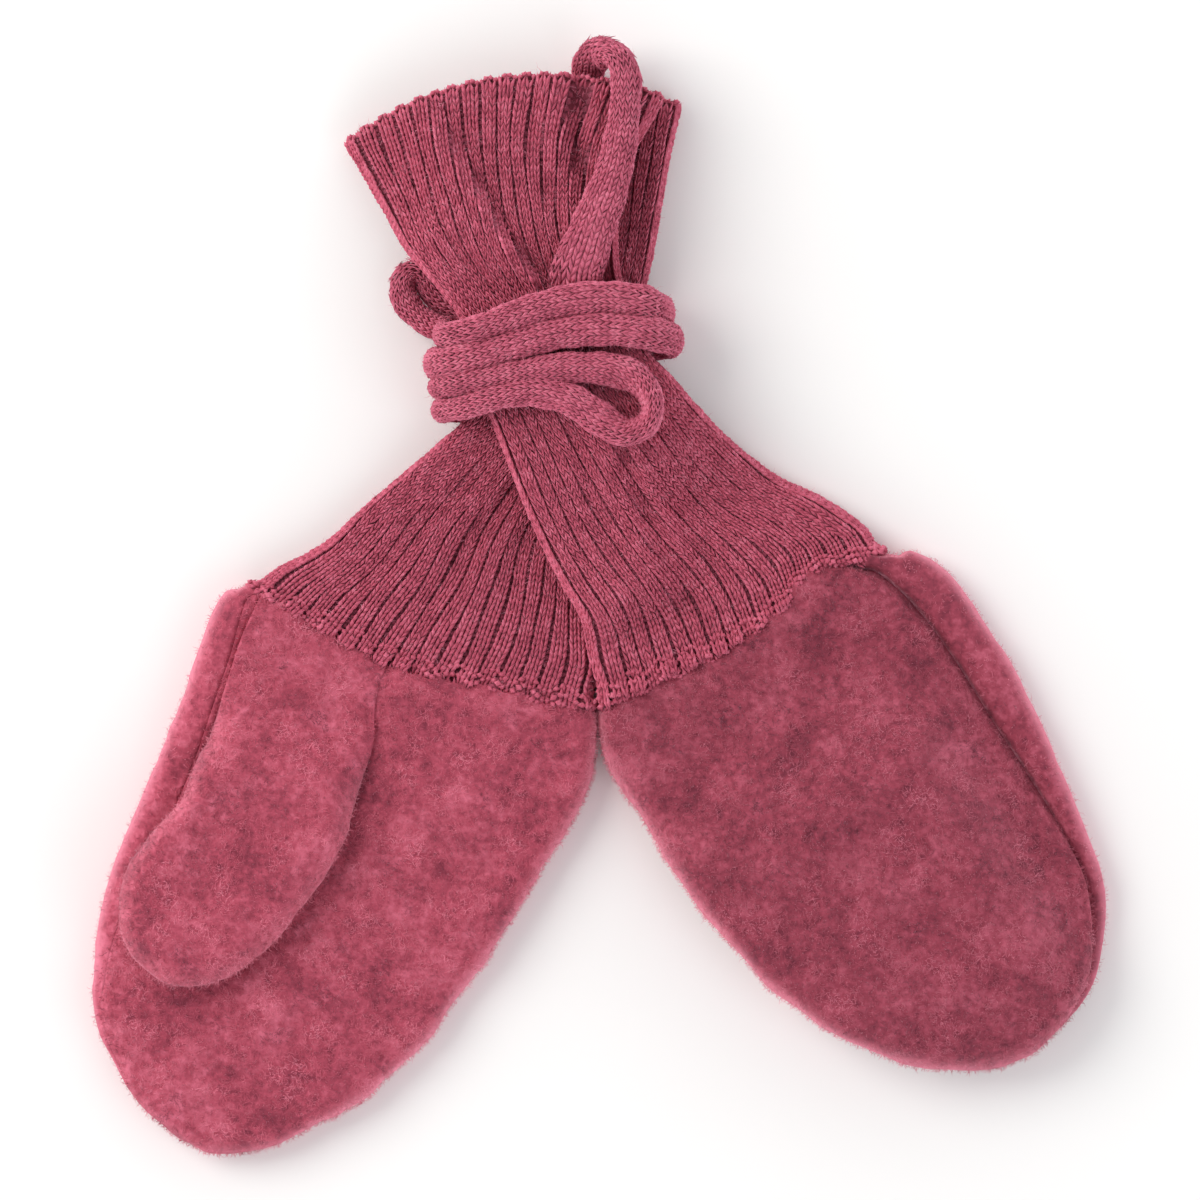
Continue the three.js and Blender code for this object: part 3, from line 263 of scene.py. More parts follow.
LEFT_CUFF = {
    "hand": LEFT_HAND,
    "rows": table(
        CUFF_COLUMNS,
        (0.4, -18.8, 53.3, 13.6, 0.4, 0, -1, 1, 7.6, 1, 0, 0),
        (-1.7, -8.1, 50.4, 17.2, 3.2, 0, -0.9, -0.2, 7.0, 0.6, 0, 0),
        (-3.2, -1.4, 43.1, 22.0, 7.1, 0, -0.75, 0.1, 6.6, 0.25, 0, 0),
        (-7.0, 5.6, 35.5, 25.6, 7.2, 0, -0.45, 0.5, 6.2, 0, 0, 0),
        (-11.0, 13.2, 29.8, 29.4, 7.2, 0.5, -0.3, 0.7, 6.2, 0, 0, 0),
        (-15.0, 22.7, 24.3, 33.9, 10.1, 3.0, 0.2, 1, 6.0, 0, 0, 0),
        (-18.8, 32.6, 19.0, 39.2, 11.6, 7.0, 0.35, 1, 5.7, 0, 0.1, 0),
        (-22.4, 41.1, 14.4, 44.6, 11.7, 10.4, 0.6, 1, 5.6, 0, 0.2, 0),
        (-25.4, 48.7, 9.5, 49.9, 11.7, 11.5, 0, 1, 5.4, 0, 0.3, 0),
        (-26.3, 55.6, 7.5, 56.3, 11.6, 11.6, 0, 1, 5.4, 0, 0.4, 0),
        (-30.5, 61.7, 4.4, 63.6, 10.9, 11.2, -1, 0, 5.4, 0, 0.3, 0),
        (-36.9, 69.3, 3.6, 72.1, 7.6, 11.0, -1, -0.6, 5.6, 0, 0.1, 0.6),
        (-41.0, 76.9, 4.2, 79.7, 3.4, 8.4, -1, -0.42, 5.8, 0, 0, 2),
        (-45.0, 83.9, 6.7, 87.9, 1.2, 7.0, -1, -0.36, 6.0, 0, 0, 4.6),
        (-49.0, 90.2, 13.1, 98.7, 0.2, 6.6, -1, -0.36, 6.2, 0, 0, 7.8),
    ),
    "folds": table(
        FOLD_COLUMNS,
        (1, 6, -0.34, 0.12, 1.0, 1.8, 0.12, 0.07, 0.3),
        (3, 6, 0.3, 0.5, 0.6, 1.3, 0.12, 0.08, 0),
        (10, 14, 0.16, -0.42, 2.8, 1.5, 0.14, 0.16, 0.65),
        (12, 14, 0.72, 0.5, 2.2, 3.0, 0.06, 0.05, 0),
        (10, 14, 0.04, -0.54, -1.8, -1.0, 0.12, 0.12, -0.55),
        (9.6, 13.6, -0.42, -0.84, 1.0, 0.5, 0.07, 0.06, 0.3),
        (9.8, 13.8, 0.62, 0.2, 1.2, 0.9, 0.05, 0.06, 0),
        (12.2, 14, 0.42, 0.34, -0.5, -1.3, 0.08, 0.1, 0),
        (9.6, 13.2, 0.86, 0.93, 1.4, 1.0, 0.06, 0.05, 0),
        (0.8, 5.6, -0.04, 0.3, 0.4, 0.9, 0.07, 0.06, 0),
        (1.4, 6, -0.62, -0.3, 0.4, 0.9, 0.08, 0.06, 0),
        (0.8, 6, -0.2, 0.2, -0.4, -0.5, 0.07, 0.05, 0),
    ),
}
GATHERS_ACROSS = 4

# The cord's five lengths: middle of the section, its width and thickness, and which way the
# width runs.
CORD_COLUMNS = "x y z wide thick side_x side_y side_z"
CORDS = {
    "cord_top_loop": table(
        CORD_COLUMNS,
        (-2.4, 97.5, 2.4, 6.0, 4.2, 1, 0, 0),
        (-2.2, 101.8, 3.2, 6.2, 4.2),
        (-1.8, 104.8, 5.8, 6.2, 4.2),
        (-0.5, 106.3, 9.6, 5.8, 4.2, 0.8, -0.3, 0.5),
        (1.5, 106.7, 12.6, 5.2, 4.2, 0.2, -0.6, 0.8),
        (3.7, 105.3, 14.8, 5.2, 4.2, -0.5, -0.5, 0.6),
        (5.0, 102.2, 15.8, 5.2, 4.2, -1, -0.1, 0.1),
        (5.0, 97.4, 15.8, 5.4, 4.2, -1, 0, 0),
        (4.3, 91.0, 15.6, 5.8, 4.2),
        (2.4, 82.5, 16.4, 6.8, 4.2),
        (-1.0, 73.5, 18.4, 8.2, 4.2),
        (-3.2, 67.4, 18.8, 9.2, 3.8),
        (-4.2, 64.6, 18.6, 9.3, 3.6),
        (-4.3, 60.8, 17.4, 9.2, 3.0),
    ),
    "cord_wrap_upper": table(
        CORD_COLUMNS,
        (-8.0, 56.4, 2.2, 5.6, 4.2, 0, 1, 0),
        (2.0, 57.2, 2.2, 5.6, 4.2),
        (10.4, 57.4, 3.2, 5.8, 4.2),
        (12.3, 57.4, 8.0, 5.8, 4.4),
        (11.2, 58.0, 14.5, 5.8, 4.4),
        (8.8, 58.9, 19.0, 5.8, 4.4),
        (2.0, 59.8, 20.3, 5.8, 4.6),
        (-8.0, 58.8, 20.6, 5.6, 4.6),
        (-18.0, 55.6, 20.6, 5.0, 4.6),
        (-24.2, 53.6, 20.2, 4.6, 4.6),
        (-28.0, 52.8, 17.8, 4.4, 4.4),
        (-29.3, 52.9, 14.0, 4.6, 4.4),
        (-28.8, 53.6, 7.0, 5.0, 4.4),
        (-24.8, 54.4, 2.8, 5.4, 4.2),
        (-17.0, 55.6, 2.2, 5.6, 4.2),
        (-8.4, 56.3, 2.2, 5.6, 4.2),
    ),
    "cord_wrap_middle": table(
        CORD_COLUMNS,
        (-8.0, 50.2, 2.2, 5.6, 4.2, 0, 1, 0),
        (3.0, 51.0, 2.2, 5.6, 4.2),
        (10.6, 51.6, 3.1, 5.8, 4.2),
        (13.6, 51.9, 8.0, 5.8, 4.6),
        (13.2, 52.4, 15.0, 5.8, 4.6),
        (9.6, 53.0, 19.4, 5.8, 4.6),
        (2.0, 53.9, 20.6, 5.8, 4.6),
        (-8.0, 53.0, 20.6, 5.6, 4.6),
        (-18.0, 50.4, 20.4, 5.4, 4.6),
        (-24.2, 48.6, 20.0, 5.2, 4.6),
        (-28.4, 47.8, 18.2, 5.2, 4.6),
        (-30.8, 47.6, 14.0, 5.4, 4.6),
        (-30.4, 47.9, 7.0, 5.6, 4.6),
        (-25.6, 48.5, 2.8, 5.6, 4.2),
        (-17.0, 49.4, 2.2, 5.6, 4.2),
        (-8.4, 50.1, 2.2, 5.6, 4.2),
    ),
    "cord_low_loop": table(
        CORD_COLUMNS,
        (-3.5, 48.8, 3.4, 4.0, 4.2, 0, 1, 0),
        (-7.0, 46.2, 2.6, 4.0, 4.2),
        (-12.0, 44.4, 2.2, 4.0, 4.2),
        (-17.5, 43.4, 2.2, 4.0, 4.2),
        (-25.6, 43.1, 2.9, 4.2, 4.6),
        (-29.8, 43.1, 8.0, 4.2, 5.0),
        (-29.4, 43.3, 14.6, 4.2, 5.0),
        (-25.8, 43.9, 18.8, 4.4, 4.8),
        (-17.0, 45.3, 20.2, 4.6, 4.6),
        (-6.0, 46.6, 20.4, 5.4, 4.6),
        (1.5, 46.3, 20.2, 5.8, 4.4, 0.2, 1, 0),
        (6.8, 44.6, 20.2, 6.2, 4.2, 0.5, 0.7, 0.6),
        (9.9, 40.6, 20.7, 6.4, 4.0, 0.3, 0.2, 1),
        (9.3, 36.3, 20.7, 6.4, 4.0, 0.2, -0.3, 1),
        (5.2, 34.4, 20.6, 6.0, 4.0, 0, -0.7, 0.7),
        (0.2, 37.0, 20.6, 5.8, 4.2, -0.2, -1, 0.1),
        (-6.0, 40.8, 20.8, 5.8, 4.4, -0.2, -1, 0),
        (-13.0, 42.0, 20.7, 5.0, 4.6, 0, -1, 0),
        (-20.0, 40.9, 20.4, 4.4, 4.6),
        (-25.6, 39.2, 17.8, 4.2, 4.6),
        (-29.2, 38.9, 13.0, 4.2, 4.6),
        (-29.4, 38.9, 7.4, 4.2, 4.6),
        (-25.4, 39.0, 2.8, 4.2, 4.4),
        (-17.5, 39.0, 2.2, 4.0, 4.2),
        (-8.5, 40.2, 2.2, 4.0, 4.2, 0.2, -1, 0),
        (-1.5, 43.2, 2.2, 4.0, 4.2, 0.4, -1, 0),
        (2.4, 46.6, 2.6, 4.0, 4.2, 0.6, -0.8, 0),
        (4.4, 49.4, 3.4, 4.0, 4.2),
    ),
    "cord_left_loop": table(
        CORD_COLUMNS,
        (-21.0, 57.6, 2.2, 4.4, 4.0, 0, 1, 0),
        (-27.0, 58.6, 2.2, 4.4, 4.0, 0.2, 1, 0),
        (-31.0, 60.6, 2.6, 4.4, 4.0, 0.5, 0.8, 0),
        (-33.0, 63.4, 3.0, 4.2, 4.0, 0.8, 0.6, 0),
        (-34.9, 65.4, 3.4, 4.0, 4.0, 0.1, 1, 0),
        (-37.0, 64.4, 3.8, 4.2, 4.0, -0.9, 0.5, 0),
        (-37.4, 61.4, 4.2, 4.6, 4.0, -1, -0.1, 0),
        (-36.0, 58.4, 4.6, 4.6, 4.0, -0.8, -0.5, 0),
        (-33.6, 56.2, 5.0, 4.6, 4.0, -0.6, -0.8, 0),
        (-31.0, 54.8, 5.6, 4.6, 4.0, -0.3, -1, 0),
        (-28.6, 54.2, 6.4, 4.6, 4.0, -0.2, -1, 0),
    ),
}


# Helpers for numbers


def ease(value, start, end):
    share = np.clip((np.asarray(value, float) - start) / (end - start), 0, 1)
    return share * share * (3 - 2 * share)


def mix(a, b, share):
    return a + (b - a) * share


def bell(gap, half_width):
    """1 on a line, falling to nothing on both sides of it."""
    return np.exp(-((gap / half_width) ** 2))


def arc(a, slope_a, b, slope_b, s):
    """A smooth curve from a to b with its slopes at both ends."""
    return (
        a * (1 + 2 * s) * (1 - s) ** 2
        + slope_a * s * (1 - s) ** 2
        + b * s * s * (3 - 2 * s)
        + slope_b * s * s * (s - 1)
    )


def column(rows, key, name):
    """Reads one column of a table at any values of its key column, along a smooth curve."""
    keys, values = rows[key], rows[name]
    last = len(keys) - 1
    before = np.maximum(0, np.arange(last + 1) - 1)
    after = np.minimum(last, np.arange(last + 1) + 1)
    slope = (values[after] - values[before]) / (keys[after] - keys[before])

    def read(at):
        held = np.clip(at, keys[0], keys[-1])
        i = np.clip(np.searchsorted(keys, held, side="right") - 1, 0, last - 1)
        span = keys[i + 1] - keys[i]
        s = (held - keys[i]) / span
        return arc(values[i], slope[i] * span, values[i + 1], slope[i + 1] * span, s)

    return read


def unit(vectors):
    return vectors / np.maximum(1e-9, np.linalg.norm(vectors, axis=-1, keepdims=True))


def length_along(points):
    """The way from the first point of a line to each of its points."""
    return np.concatenate([[0], np.cumsum(np.linalg.norm(np.diff(points, axis=0), axis=1))])


def smooth_line(points, samples):
    """A centripetal curve through points, read at even steps of its own parameter."""
    points = np.asarray(points, float)
    ends = [2 * points[0] - points[1], *points, 2 * points[-1] - points[-2]]
    out = []
    for t in np.linspace(0, len(points) - 1, samples):
        i = min(len(points) - 2, int(t))
        p0, p1, p2, p3 = ends[i : i + 4]
        pairs = ((p0, p1), (p1, p2), (p2, p3))
        d0, d1, d2 = (max(1e-4, np.linalg.norm(b - a) ** 0.5) for a, b in pairs)
        t1 = ((p1 - p0) / d0 - (p2 - p0) / (d0 + d1) + (p2 - p1) / d1) * d1
        t2 = ((p2 - p1) / d1 - (p3 - p1) / (d1 + d2) + (p3 - p2) / d2) * d1
        out.append(arc(p1, t1, p2, t2, t - i))
    return np.array(out)


def hills_on(points, hills):
    """Hills of more than one size, added up."""
    return sum(height * lumps(points, size, seed) for height, size, seed in hills)


def lumps(points, size, seed):
    """Soft random hills from -1 to 1, a few waves added in many directions."""
    own = np.random.default_rng(seed)
    total = np.zeros(points.shape[:-1])
    WAVES = 22
    for _ in range(WAVES):
        way = unit(own.normal(size=3)) * own.uniform(0.6, 1.5) * (2 * math.pi / size)
        total += np.sin(points @ way + own.uniform(0, 2 * math.pi))
    return total / math.sqrt(WAVES / 2) / 1.6


# Helpers for meshes

# Name of a fleece mesh's own value that says how much painted edge highlight it takes, from 0 to 1
EDGE_LIGHT_NAME = "painted_edge_light"


def edge_light_of(normals):
    """Painted highlight where the cloth looks sideways."""
    return ease(1 - np.abs(normals[:, 2]), *EDGE_LIGHT_TILT)


def above_floor(points):
    points[..., 2] = np.maximum(points[..., 2], FLOOR_ROOM)
    return points


def make_mesh(name, points, faces, material, smooth=True, edge_light=None):
    """A mesh object from points in millimetres and a list of face arrays, each of one size.
    The last argument gives each point's share of the painted edge highlight."""
    mesh = bpy.data.meshes.new(name)
    points = np.asarray(points, float).reshape(-1, 3) * MM
    mesh.from_pydata(points.tolist(), [], [face for group in faces for face in group.tolist()])
    if smooth:
        mesh.shade_smooth()
    if edge_light is not None:
        values = mesh.attributes.new(EDGE_LIGHT_NAME, "FLOAT", "POINT").data
        values.foreach_set("value", edge_light.astype(np.float32))
    mesh.validate()
    mesh.materials.append(material)
    made = bpy.data.objects.new(name, mesh)
    bpy.context.scene.collection.objects.link(made)
    return made


def grid_faces(rows, columns, around=False):
    """Quads of a grid of points, [row][column], closed along its columns when around is set."""
    last = columns if around else columns - 1
    i, j = np.meshgrid(np.arange(rows - 1), np.arange(last), indexing="ij")
    here, there = i * columns, (j + 1) % columns
    quads = [here + j, here + there, here + columns + there, here + columns + j]
    return np.stack(quads, -1).reshape(-1, 4)


def weld(points, quads):
    """Joins points that share a place, and says which of them are kept."""
    _, kept, into = np.unique(np.round(points, 3), axis=0, return_index=True, return_inverse=True)
    return points[kept], into.reshape(-1)[quads], kept


def face_normals(points, quads):
    a, b, c, d = (points[quads[:, n]] for n in range(4))
    return np.cross(c - a, d - b)


def corner_normals(points, quads):
    face = face_normals(points, quads)
    total = np.zeros_like(points)
    for n in range(4):
        np.add.at(total, quads[:, n], face)
    return unit(total)


def turned_outward(points, quads, inside):
    """Quads turned so that they look away from a point inside the cloth's own fold."""
    outward = ((points[quads].mean(1) - inside) * face_normals(points, quads)).sum()
    return quads if outward > 0 else quads[:, ::-1]


def thick_cloth(points, quads, thickness):
    """Gives a sheet an inner side and rims along its open edges."""
    inner = points - corner_normals(points, quads) * thickness
    edges = np.concatenate([quads[:, [n, (n + 1) % 4]] for n in range(4)])
    key = np.sort(edges, axis=1)
    _, index, count = np.unique(key, axis=0, return_index=True, return_counts=True)
    rim = edges[index[count == 1]]
    total = len(points)
    rims = np.stack([rim[:, 1], rim[:, 0], rim[:, 0] + total, rim[:, 1] + total], -1)
    return np.concatenate([points, inner]), np.concatenate([quads, quads[:, ::-1] + total, rims])


# Materials. Wool has no metal in it and an IOR of about 1.5, which the shader starts with.

# Sizes in millimetres of what each pattern draws. The scales on a wool fibre are too fine to
# show, so the twist of the yarn is the finest one, drawn as coarse as it needs to show.
FLEECE_PATCH = 11.11
FLEECE_NUB = 1.613
PILE_PATCH = 7.692
DYE_PATCH = 2.083
YARN_TWIST = 0.4167
FLEECE_CONTRAST, YARN_CONTRAST, FUZZ_CONTRAST = 0.16, 0.24, 0.16


def colour(hex_text):
    """An sRGB hex colour as linear values."""
    parts = [int(hex_text[i : i + 2], 16) / 255 for i in (1, 3, 5)]
    linear = [c / 12.92 if c <= 0.04045 else ((c + 0.055) / 1.055) ** 2.4 for c in parts]
    return (*linear, 1.0)


def add(tree, kind, inputs=None, stops=(), **settings):
    """Adds a node with its settings and, for a colour ramp, its stops. An input is a value,
    or another node's output."""
    node = tree.nodes.new("ShaderNode" + kind)
    for name, value in settings.items():
        setattr(node, name, value)
    for name, value in (inputs or {}).items():
        if isinstance(value, bpy.types.NodeSocket):
            tree.links.new(value, node.inputs[name])
        else:
            node.inputs[name].default_value = value
    for place, _ in stops[1:-1]:
        node.color_ramp.elements.new(place)
    for number, (place, hex_text) in enumerate(stops):
        node.color_ramp.elements[number].position = place
        node.color_ramp.elements[number].color = colour(hex_text)
    return node


def waves(size):
    """A noise's scale, in waves a metre, from the size of its patches in millimetres."""
    return 1 / (size * MM)


def tones(contrast, dark, middle, light):
    """A colour ramp's stops, contrast apart round the middle of a noise."""
    return (0.5 - contrast, dark), (0.5, middle), (0.5 + contrast, light)


def start_material(name):
    """A new material, its node tree and the place on the object that its patterns go by."""
    material = bpy.data.materials.new(name)
    material.use_nodes = True
    tree = material.node_tree
    tree.nodes.clear()
    return material, tree, add(tree, "TexCoord").outputs["Object"]


def finish_material(tree, inputs):
    shader = add(tree, "BsdfPrincipled", inputs)
    add(tree, "OutputMaterial", {"Surface": shader.outputs["BSDF"]})


def finish_wool(tree, base, *, roughness, sheen, sheen_roughness, sheen_tint, **more):
    """Wool's own surface: matt, with the sheen that its standing fibres give at the edges."""
    inputs = {
        "Base Color": base,
        "Roughness": roughness,
        "Sheen Weight": sheen,
        "Sheen Roughness": sheen_roughness,
        "Sheen Tint": colour(sheen_tint),
    }
    finish_material(tree, {**inputs, **more})


def painted_edge_light_colour(tree, base, edge):
    """Painted highlight: where the fleece bends round a fold it is painted paler."""
    share = add(tree, "Attribute", attribute_name=EDGE_LIGHT_NAME).outputs["Fac"]
    part = add(tree, "Math", {0: share, 1: 0.9}, operation="MULTIPLY")
    # A colour mix has its factor first, and its two colours as inputs 6 and 7.
    inputs = {"Factor": part.outputs["Value"], 6: base, 7: colour(edge)}
    return add(tree, "Mix", inputs, data_type="RGBA").outputs[2]


def fleece_cloth(name, *colours):
    """Brushed wool fleece: mottled where the pile parts, with a soft sheen at grazing angles."""
    material, tree, place = start_material(name)
    coarse = {"Vector": place, "Scale": waves(FLEECE_PATCH), "Detail": 2.0, "Roughness": 0.55}
    patches = add(tree, "TexNoise", coarse).outputs["Fac"]
    fine = {"Vector": place, "Scale": waves(FLEECE_NUB), "Detail": 3.0, "Roughness": 0.6}
    nubs = add(tree, "TexNoise", fine).outputs["Fac"]
    both = {"Factor": 0.55, "A": patches, "B": nubs}
    blend = add(tree, "Mix", both, data_type="FLOAT").outputs["Result"]
    mottled = add(tree, "ValToRGB", {"Fac": blend}, tones(FLEECE_CONTRAST, *colours))
    # A painted highlight: paler pink where the cloth turns sideways
    base = painted_edge_light_colour(tree, mottled.outputs["Color"], "#d97f94")
    relief = add(tree, "Bump", {"Height": nubs, "Strength": 0.5, "Distance": 0.6 * MM})
    sheen = {"sheen": 0.6, "sheen_roughness": 0.35, "sheen_tint": "#eb9fb3"}
    finish_wool(tree, base, roughness=0.95, **sheen, Normal=relief.outputs["Normal"])
    return material


def fleece_pile(name, *colours):
    """Loose wool fibres of the fleece: lighter than the cloth, as thin fibres let light through."""
    material, tree, place = start_material(name)
    coarse = {"Vector": place, "Scale": waves(PILE_PATCH), "Detail": 3.0, "Roughness": 0.6}
    patches = add(tree, "TexNoise", coarse).outputs["Fac"]
    mottled = add(tree, "ValToRGB", {"Fac": patches}, tones(FLEECE_CONTRAST, *colours))
    # A painted highlight: paler pink where the sheet under the fibres turns sideways
    base = painted_edge_light_colour(tree, mottled.outputs["Color"], "#eba0b2")
    sheen = {"sheen": 1.0, "sheen_roughness": 0.3, "sheen_tint": "#eea5b8"}
    finish_wool(tree, base, roughness=0.8, **sheen)
    return material


def wool_yarn(name, *colours, contrast=YARN_CONTRAST):
    """Wool yarn: matt, uneven in dye from stitch to stitch, with a faint fuzz sheen."""
    material, tree, place = start_material(name)
    uneven = {"Vector": place, "Scale": waves(DYE_PATCH), "Detail": 3.0, "Roughness": 0.65}
    dye = add(tree, "TexNoise", uneven).outputs["Fac"]
    plies = {"Vector": place, "Scale": waves(YARN_TWIST), "Detail": 2.0}
    twist = add(tree, "TexNoise", plies).outputs["Fac"]
    base = add(tree, "ValToRGB", {"Fac": dye}, tones(contrast, *colours)).outputs["Color"]
    relief = add(tree, "Bump", {"Height": twist, "Strength": 0.35, "Distance": 0.2 * MM})
    sheen = {"sheen": 0.2, "sheen_roughness": 0.5, "sheen_tint": "#e59aae"}
    finish_wool(tree, base, roughness=0.9, **sheen, Normal=relief.outputs["Normal"])
    return material


# Painted light: one dye as a lit copy and a shaded copy. The right mitten lies on the window's side
# and is painted lighter.
FLEECE_CLOTHS = {
    "right": fleece_cloth("wool_fleece_painted_lit", "#7f2d41", "#b44a60", "#d46c84"),
    "left": fleece_cloth("wool_fleece_painted_shaded", "#6e2538", "#9b3d51", "#bd5b71"),
}
# The pile too is painted lighter on the right mitten and darker on the left one, for the light.
FLEECE_PILES = {
    "right": fleece_pile("wool_pile_painted_lit", "#8a354b", "#c0556c", "#e48299"),
    "left": fleece_pile("wool_pile_painted_shaded", "#763043", "#a4475b", "#c96d82"),
}
CUFF_YARN = wool_yarn("wool_rib_yarn", "#a8435b", "#c55972", "#dd7690")
# Painted shade: the ground under the stitches is the same yarn, painted much darker where it shows
# between them
CUFF_GROUND_SHADE = wool_yarn("wool_rib_ground_painted_shade", "#652030", "#772a3c", "#883649")
# Painted shade: the same yarn, darker on the bumps in the valleys between the ribs
CUFF_VALLEY_SHADE = wool_yarn("wool_rib_yarn_painted_valley_shade", "#7e3044", "#964056", "#ac4f67")
CORD_YARN = wool_yarn("wool_cord_yarn", "#aa4a62", "#c8617b", "#de7c95")
# Painted shade: the cord's ground is the same yarn, painted much darker where it shows between the
# stitches
CORD_GROUND_SHADE = wool_yarn("wool_cord_ground_painted_shade", "#5c1f2f", "#6e293a", "#803547")
# Painted light: the loose hairs are painted paler than the yarn, for the light that comes through
# thin fibres.
YARN_FUZZ = wool_yarn(
    "loose_wool_hairs_painted_light", "#c0607a", "#da8299", "#eda6b8", contrast=FUZZ_CONTRAST
)


# Hands


def place_on(hand, across, along):
    """From a hand's own plan to the part's plan."""
    dip = column(hand["seam_line"], "across", "dip")(across)
    wave = SEAM_WAVE * (np.sin(1.7 * across + 1) + np.sin(0.8 * across))
    bent = along + dip * (1 - ease(along, 0, SEAM_LINE_REACH))
    bent = bent + wave * (1 - ease(along, 0, SEAM_WAVE_REACH))
    c, s = math.cos(hand["turn"]), math.sin(hand["turn"])
    return hand["seat"][0] + across * c + bent * s, hand["seat"][1] + across * s - bent * c


def lift_of(hand, across, along):
    """How far the palm is raised from the floor by the thumb beneath it."""
    if not hand["lift"]:
        return np.zeros_like(across)
    tip = 1 - ease(along, *hand["lift"]["tip"])
    side = 1 - ease(across, *hand["lift"]["side"])
    return THUMB_RISE * ease(along, *THUMB_SWELL) * tip * side


def outline_halves(outline):
    """The outline's two halves, each read by the share of its length from cuff to tip."""
    left = np.stack([outline["left"], outline["along"]], -1)
    right = np.stack([outline["right"], outline["along"]], -1)
    SAMPLES = 481
    line = smooth_line([*left, *right[:-1][::-1]], SAMPLES)
    halves = []
    for half in (line[: SAMPLES // 2 + 1], line[SAMPLES // 2 :][::-1]):
        reach = length_along(half)
        halves.append((reach / reach[-1], half))
    return halves


def pocket_lines(outline, spine, spans):
    """Lines across a pocket, from its outline to its spine. A span is (start along, steps)."""
    spine_to, spine_start, spine_drift = spine
    lines = []
    for side, (reach, half) in enumerate(outline_halves(outline)):
        marks = [float(np.interp(start, half[:, 1], reach)) if start else 0.0 for start, _ in spans]
        ends = [*marks[1:], 1.0]
        own = [
            np.linspace(start, end, steps, endpoint=False)
            for start, end, (_, steps) in zip(marks, ends, spans)
        ]
        own = np.concatenate([*own, [1.0]])
        share = np.linspace(0, 1, len(own))
        down = mix(spans[0][0], spine_to, 1 - (1 - share) ** 1.7)
        edge = np.stack([np.interp(own, reach, half[:, n]) for n in (0, 1)], -1)
        middle = np.stack([spine_start + spine_drift * down / spine_to, down], -1)
        order = slice(None) if side == 0 else slice(-2, None, -1)
        lines.append([kind[order] for kind in (np.full(len(own), side), own, edge, middle)])
    side, reach, edge, middle = (np.concatenate(kind) for kind in zip(*lines))
    depth = np.linalg.norm(middle - edge, axis=1)
    return {"side": side, "reach": reach, "edge": edge, "middle": middle, "depth": depth}


def plan_at(lines, inset):
    share = inset / lines["depth"][:, None]
    edge, middle = lines["edge"][:, None], lines["middle"][:, None]
    return [mix(edge[..., n], middle[..., n], share) for n in (0, 1)]


def pocket_sheet(hand, across, along, height):
    """A sheet from grids of plan places and heights: its points, its quads, the plan place of
    each point, and which point of the grid it comes from."""
    x, y = place_on(hand, across, along)
    rows = np.stack([x, y, height], -1)
    points, quads, kept = weld(rows.reshape(-1, 3), grid_faces(*rows.shape[:2]))
    return points, quads, np.stack([across, along], -1).reshape(-1, 2)[kept], kept


def crease_depth(creases, across, along):
    """Valleys pressed into a face, each along its own short line and fading at its ends."""
    total = np.zeros_like(across)
    for x, y, to_x, to_y, depth, width in zip(*creases.values()):
        way = np.array([to_x - x, to_y - y])
        t = ((across - x) * way[0] + (along - y) * way[1]) / (way @ way)
        near = np.clip(t, 0, 1)
        gap = np.hypot(across - x - near * way[0], along - y - near * way[1])
        total += depth * bell(gap, width) * (1 - 0.6 * near)
    return total


def seam_way(hand, lines):
    thumb = column(SIDE_SEAMS, "reach", "thumb_side")(lines["reach"])
    outer = column(SIDE_SEAMS, "reach", "outer_side")(lines["reach"])
    way = np.where(lines["side"] == 0, thumb, -outer)
    return way * (1 if hand["palm_up"] else -1)


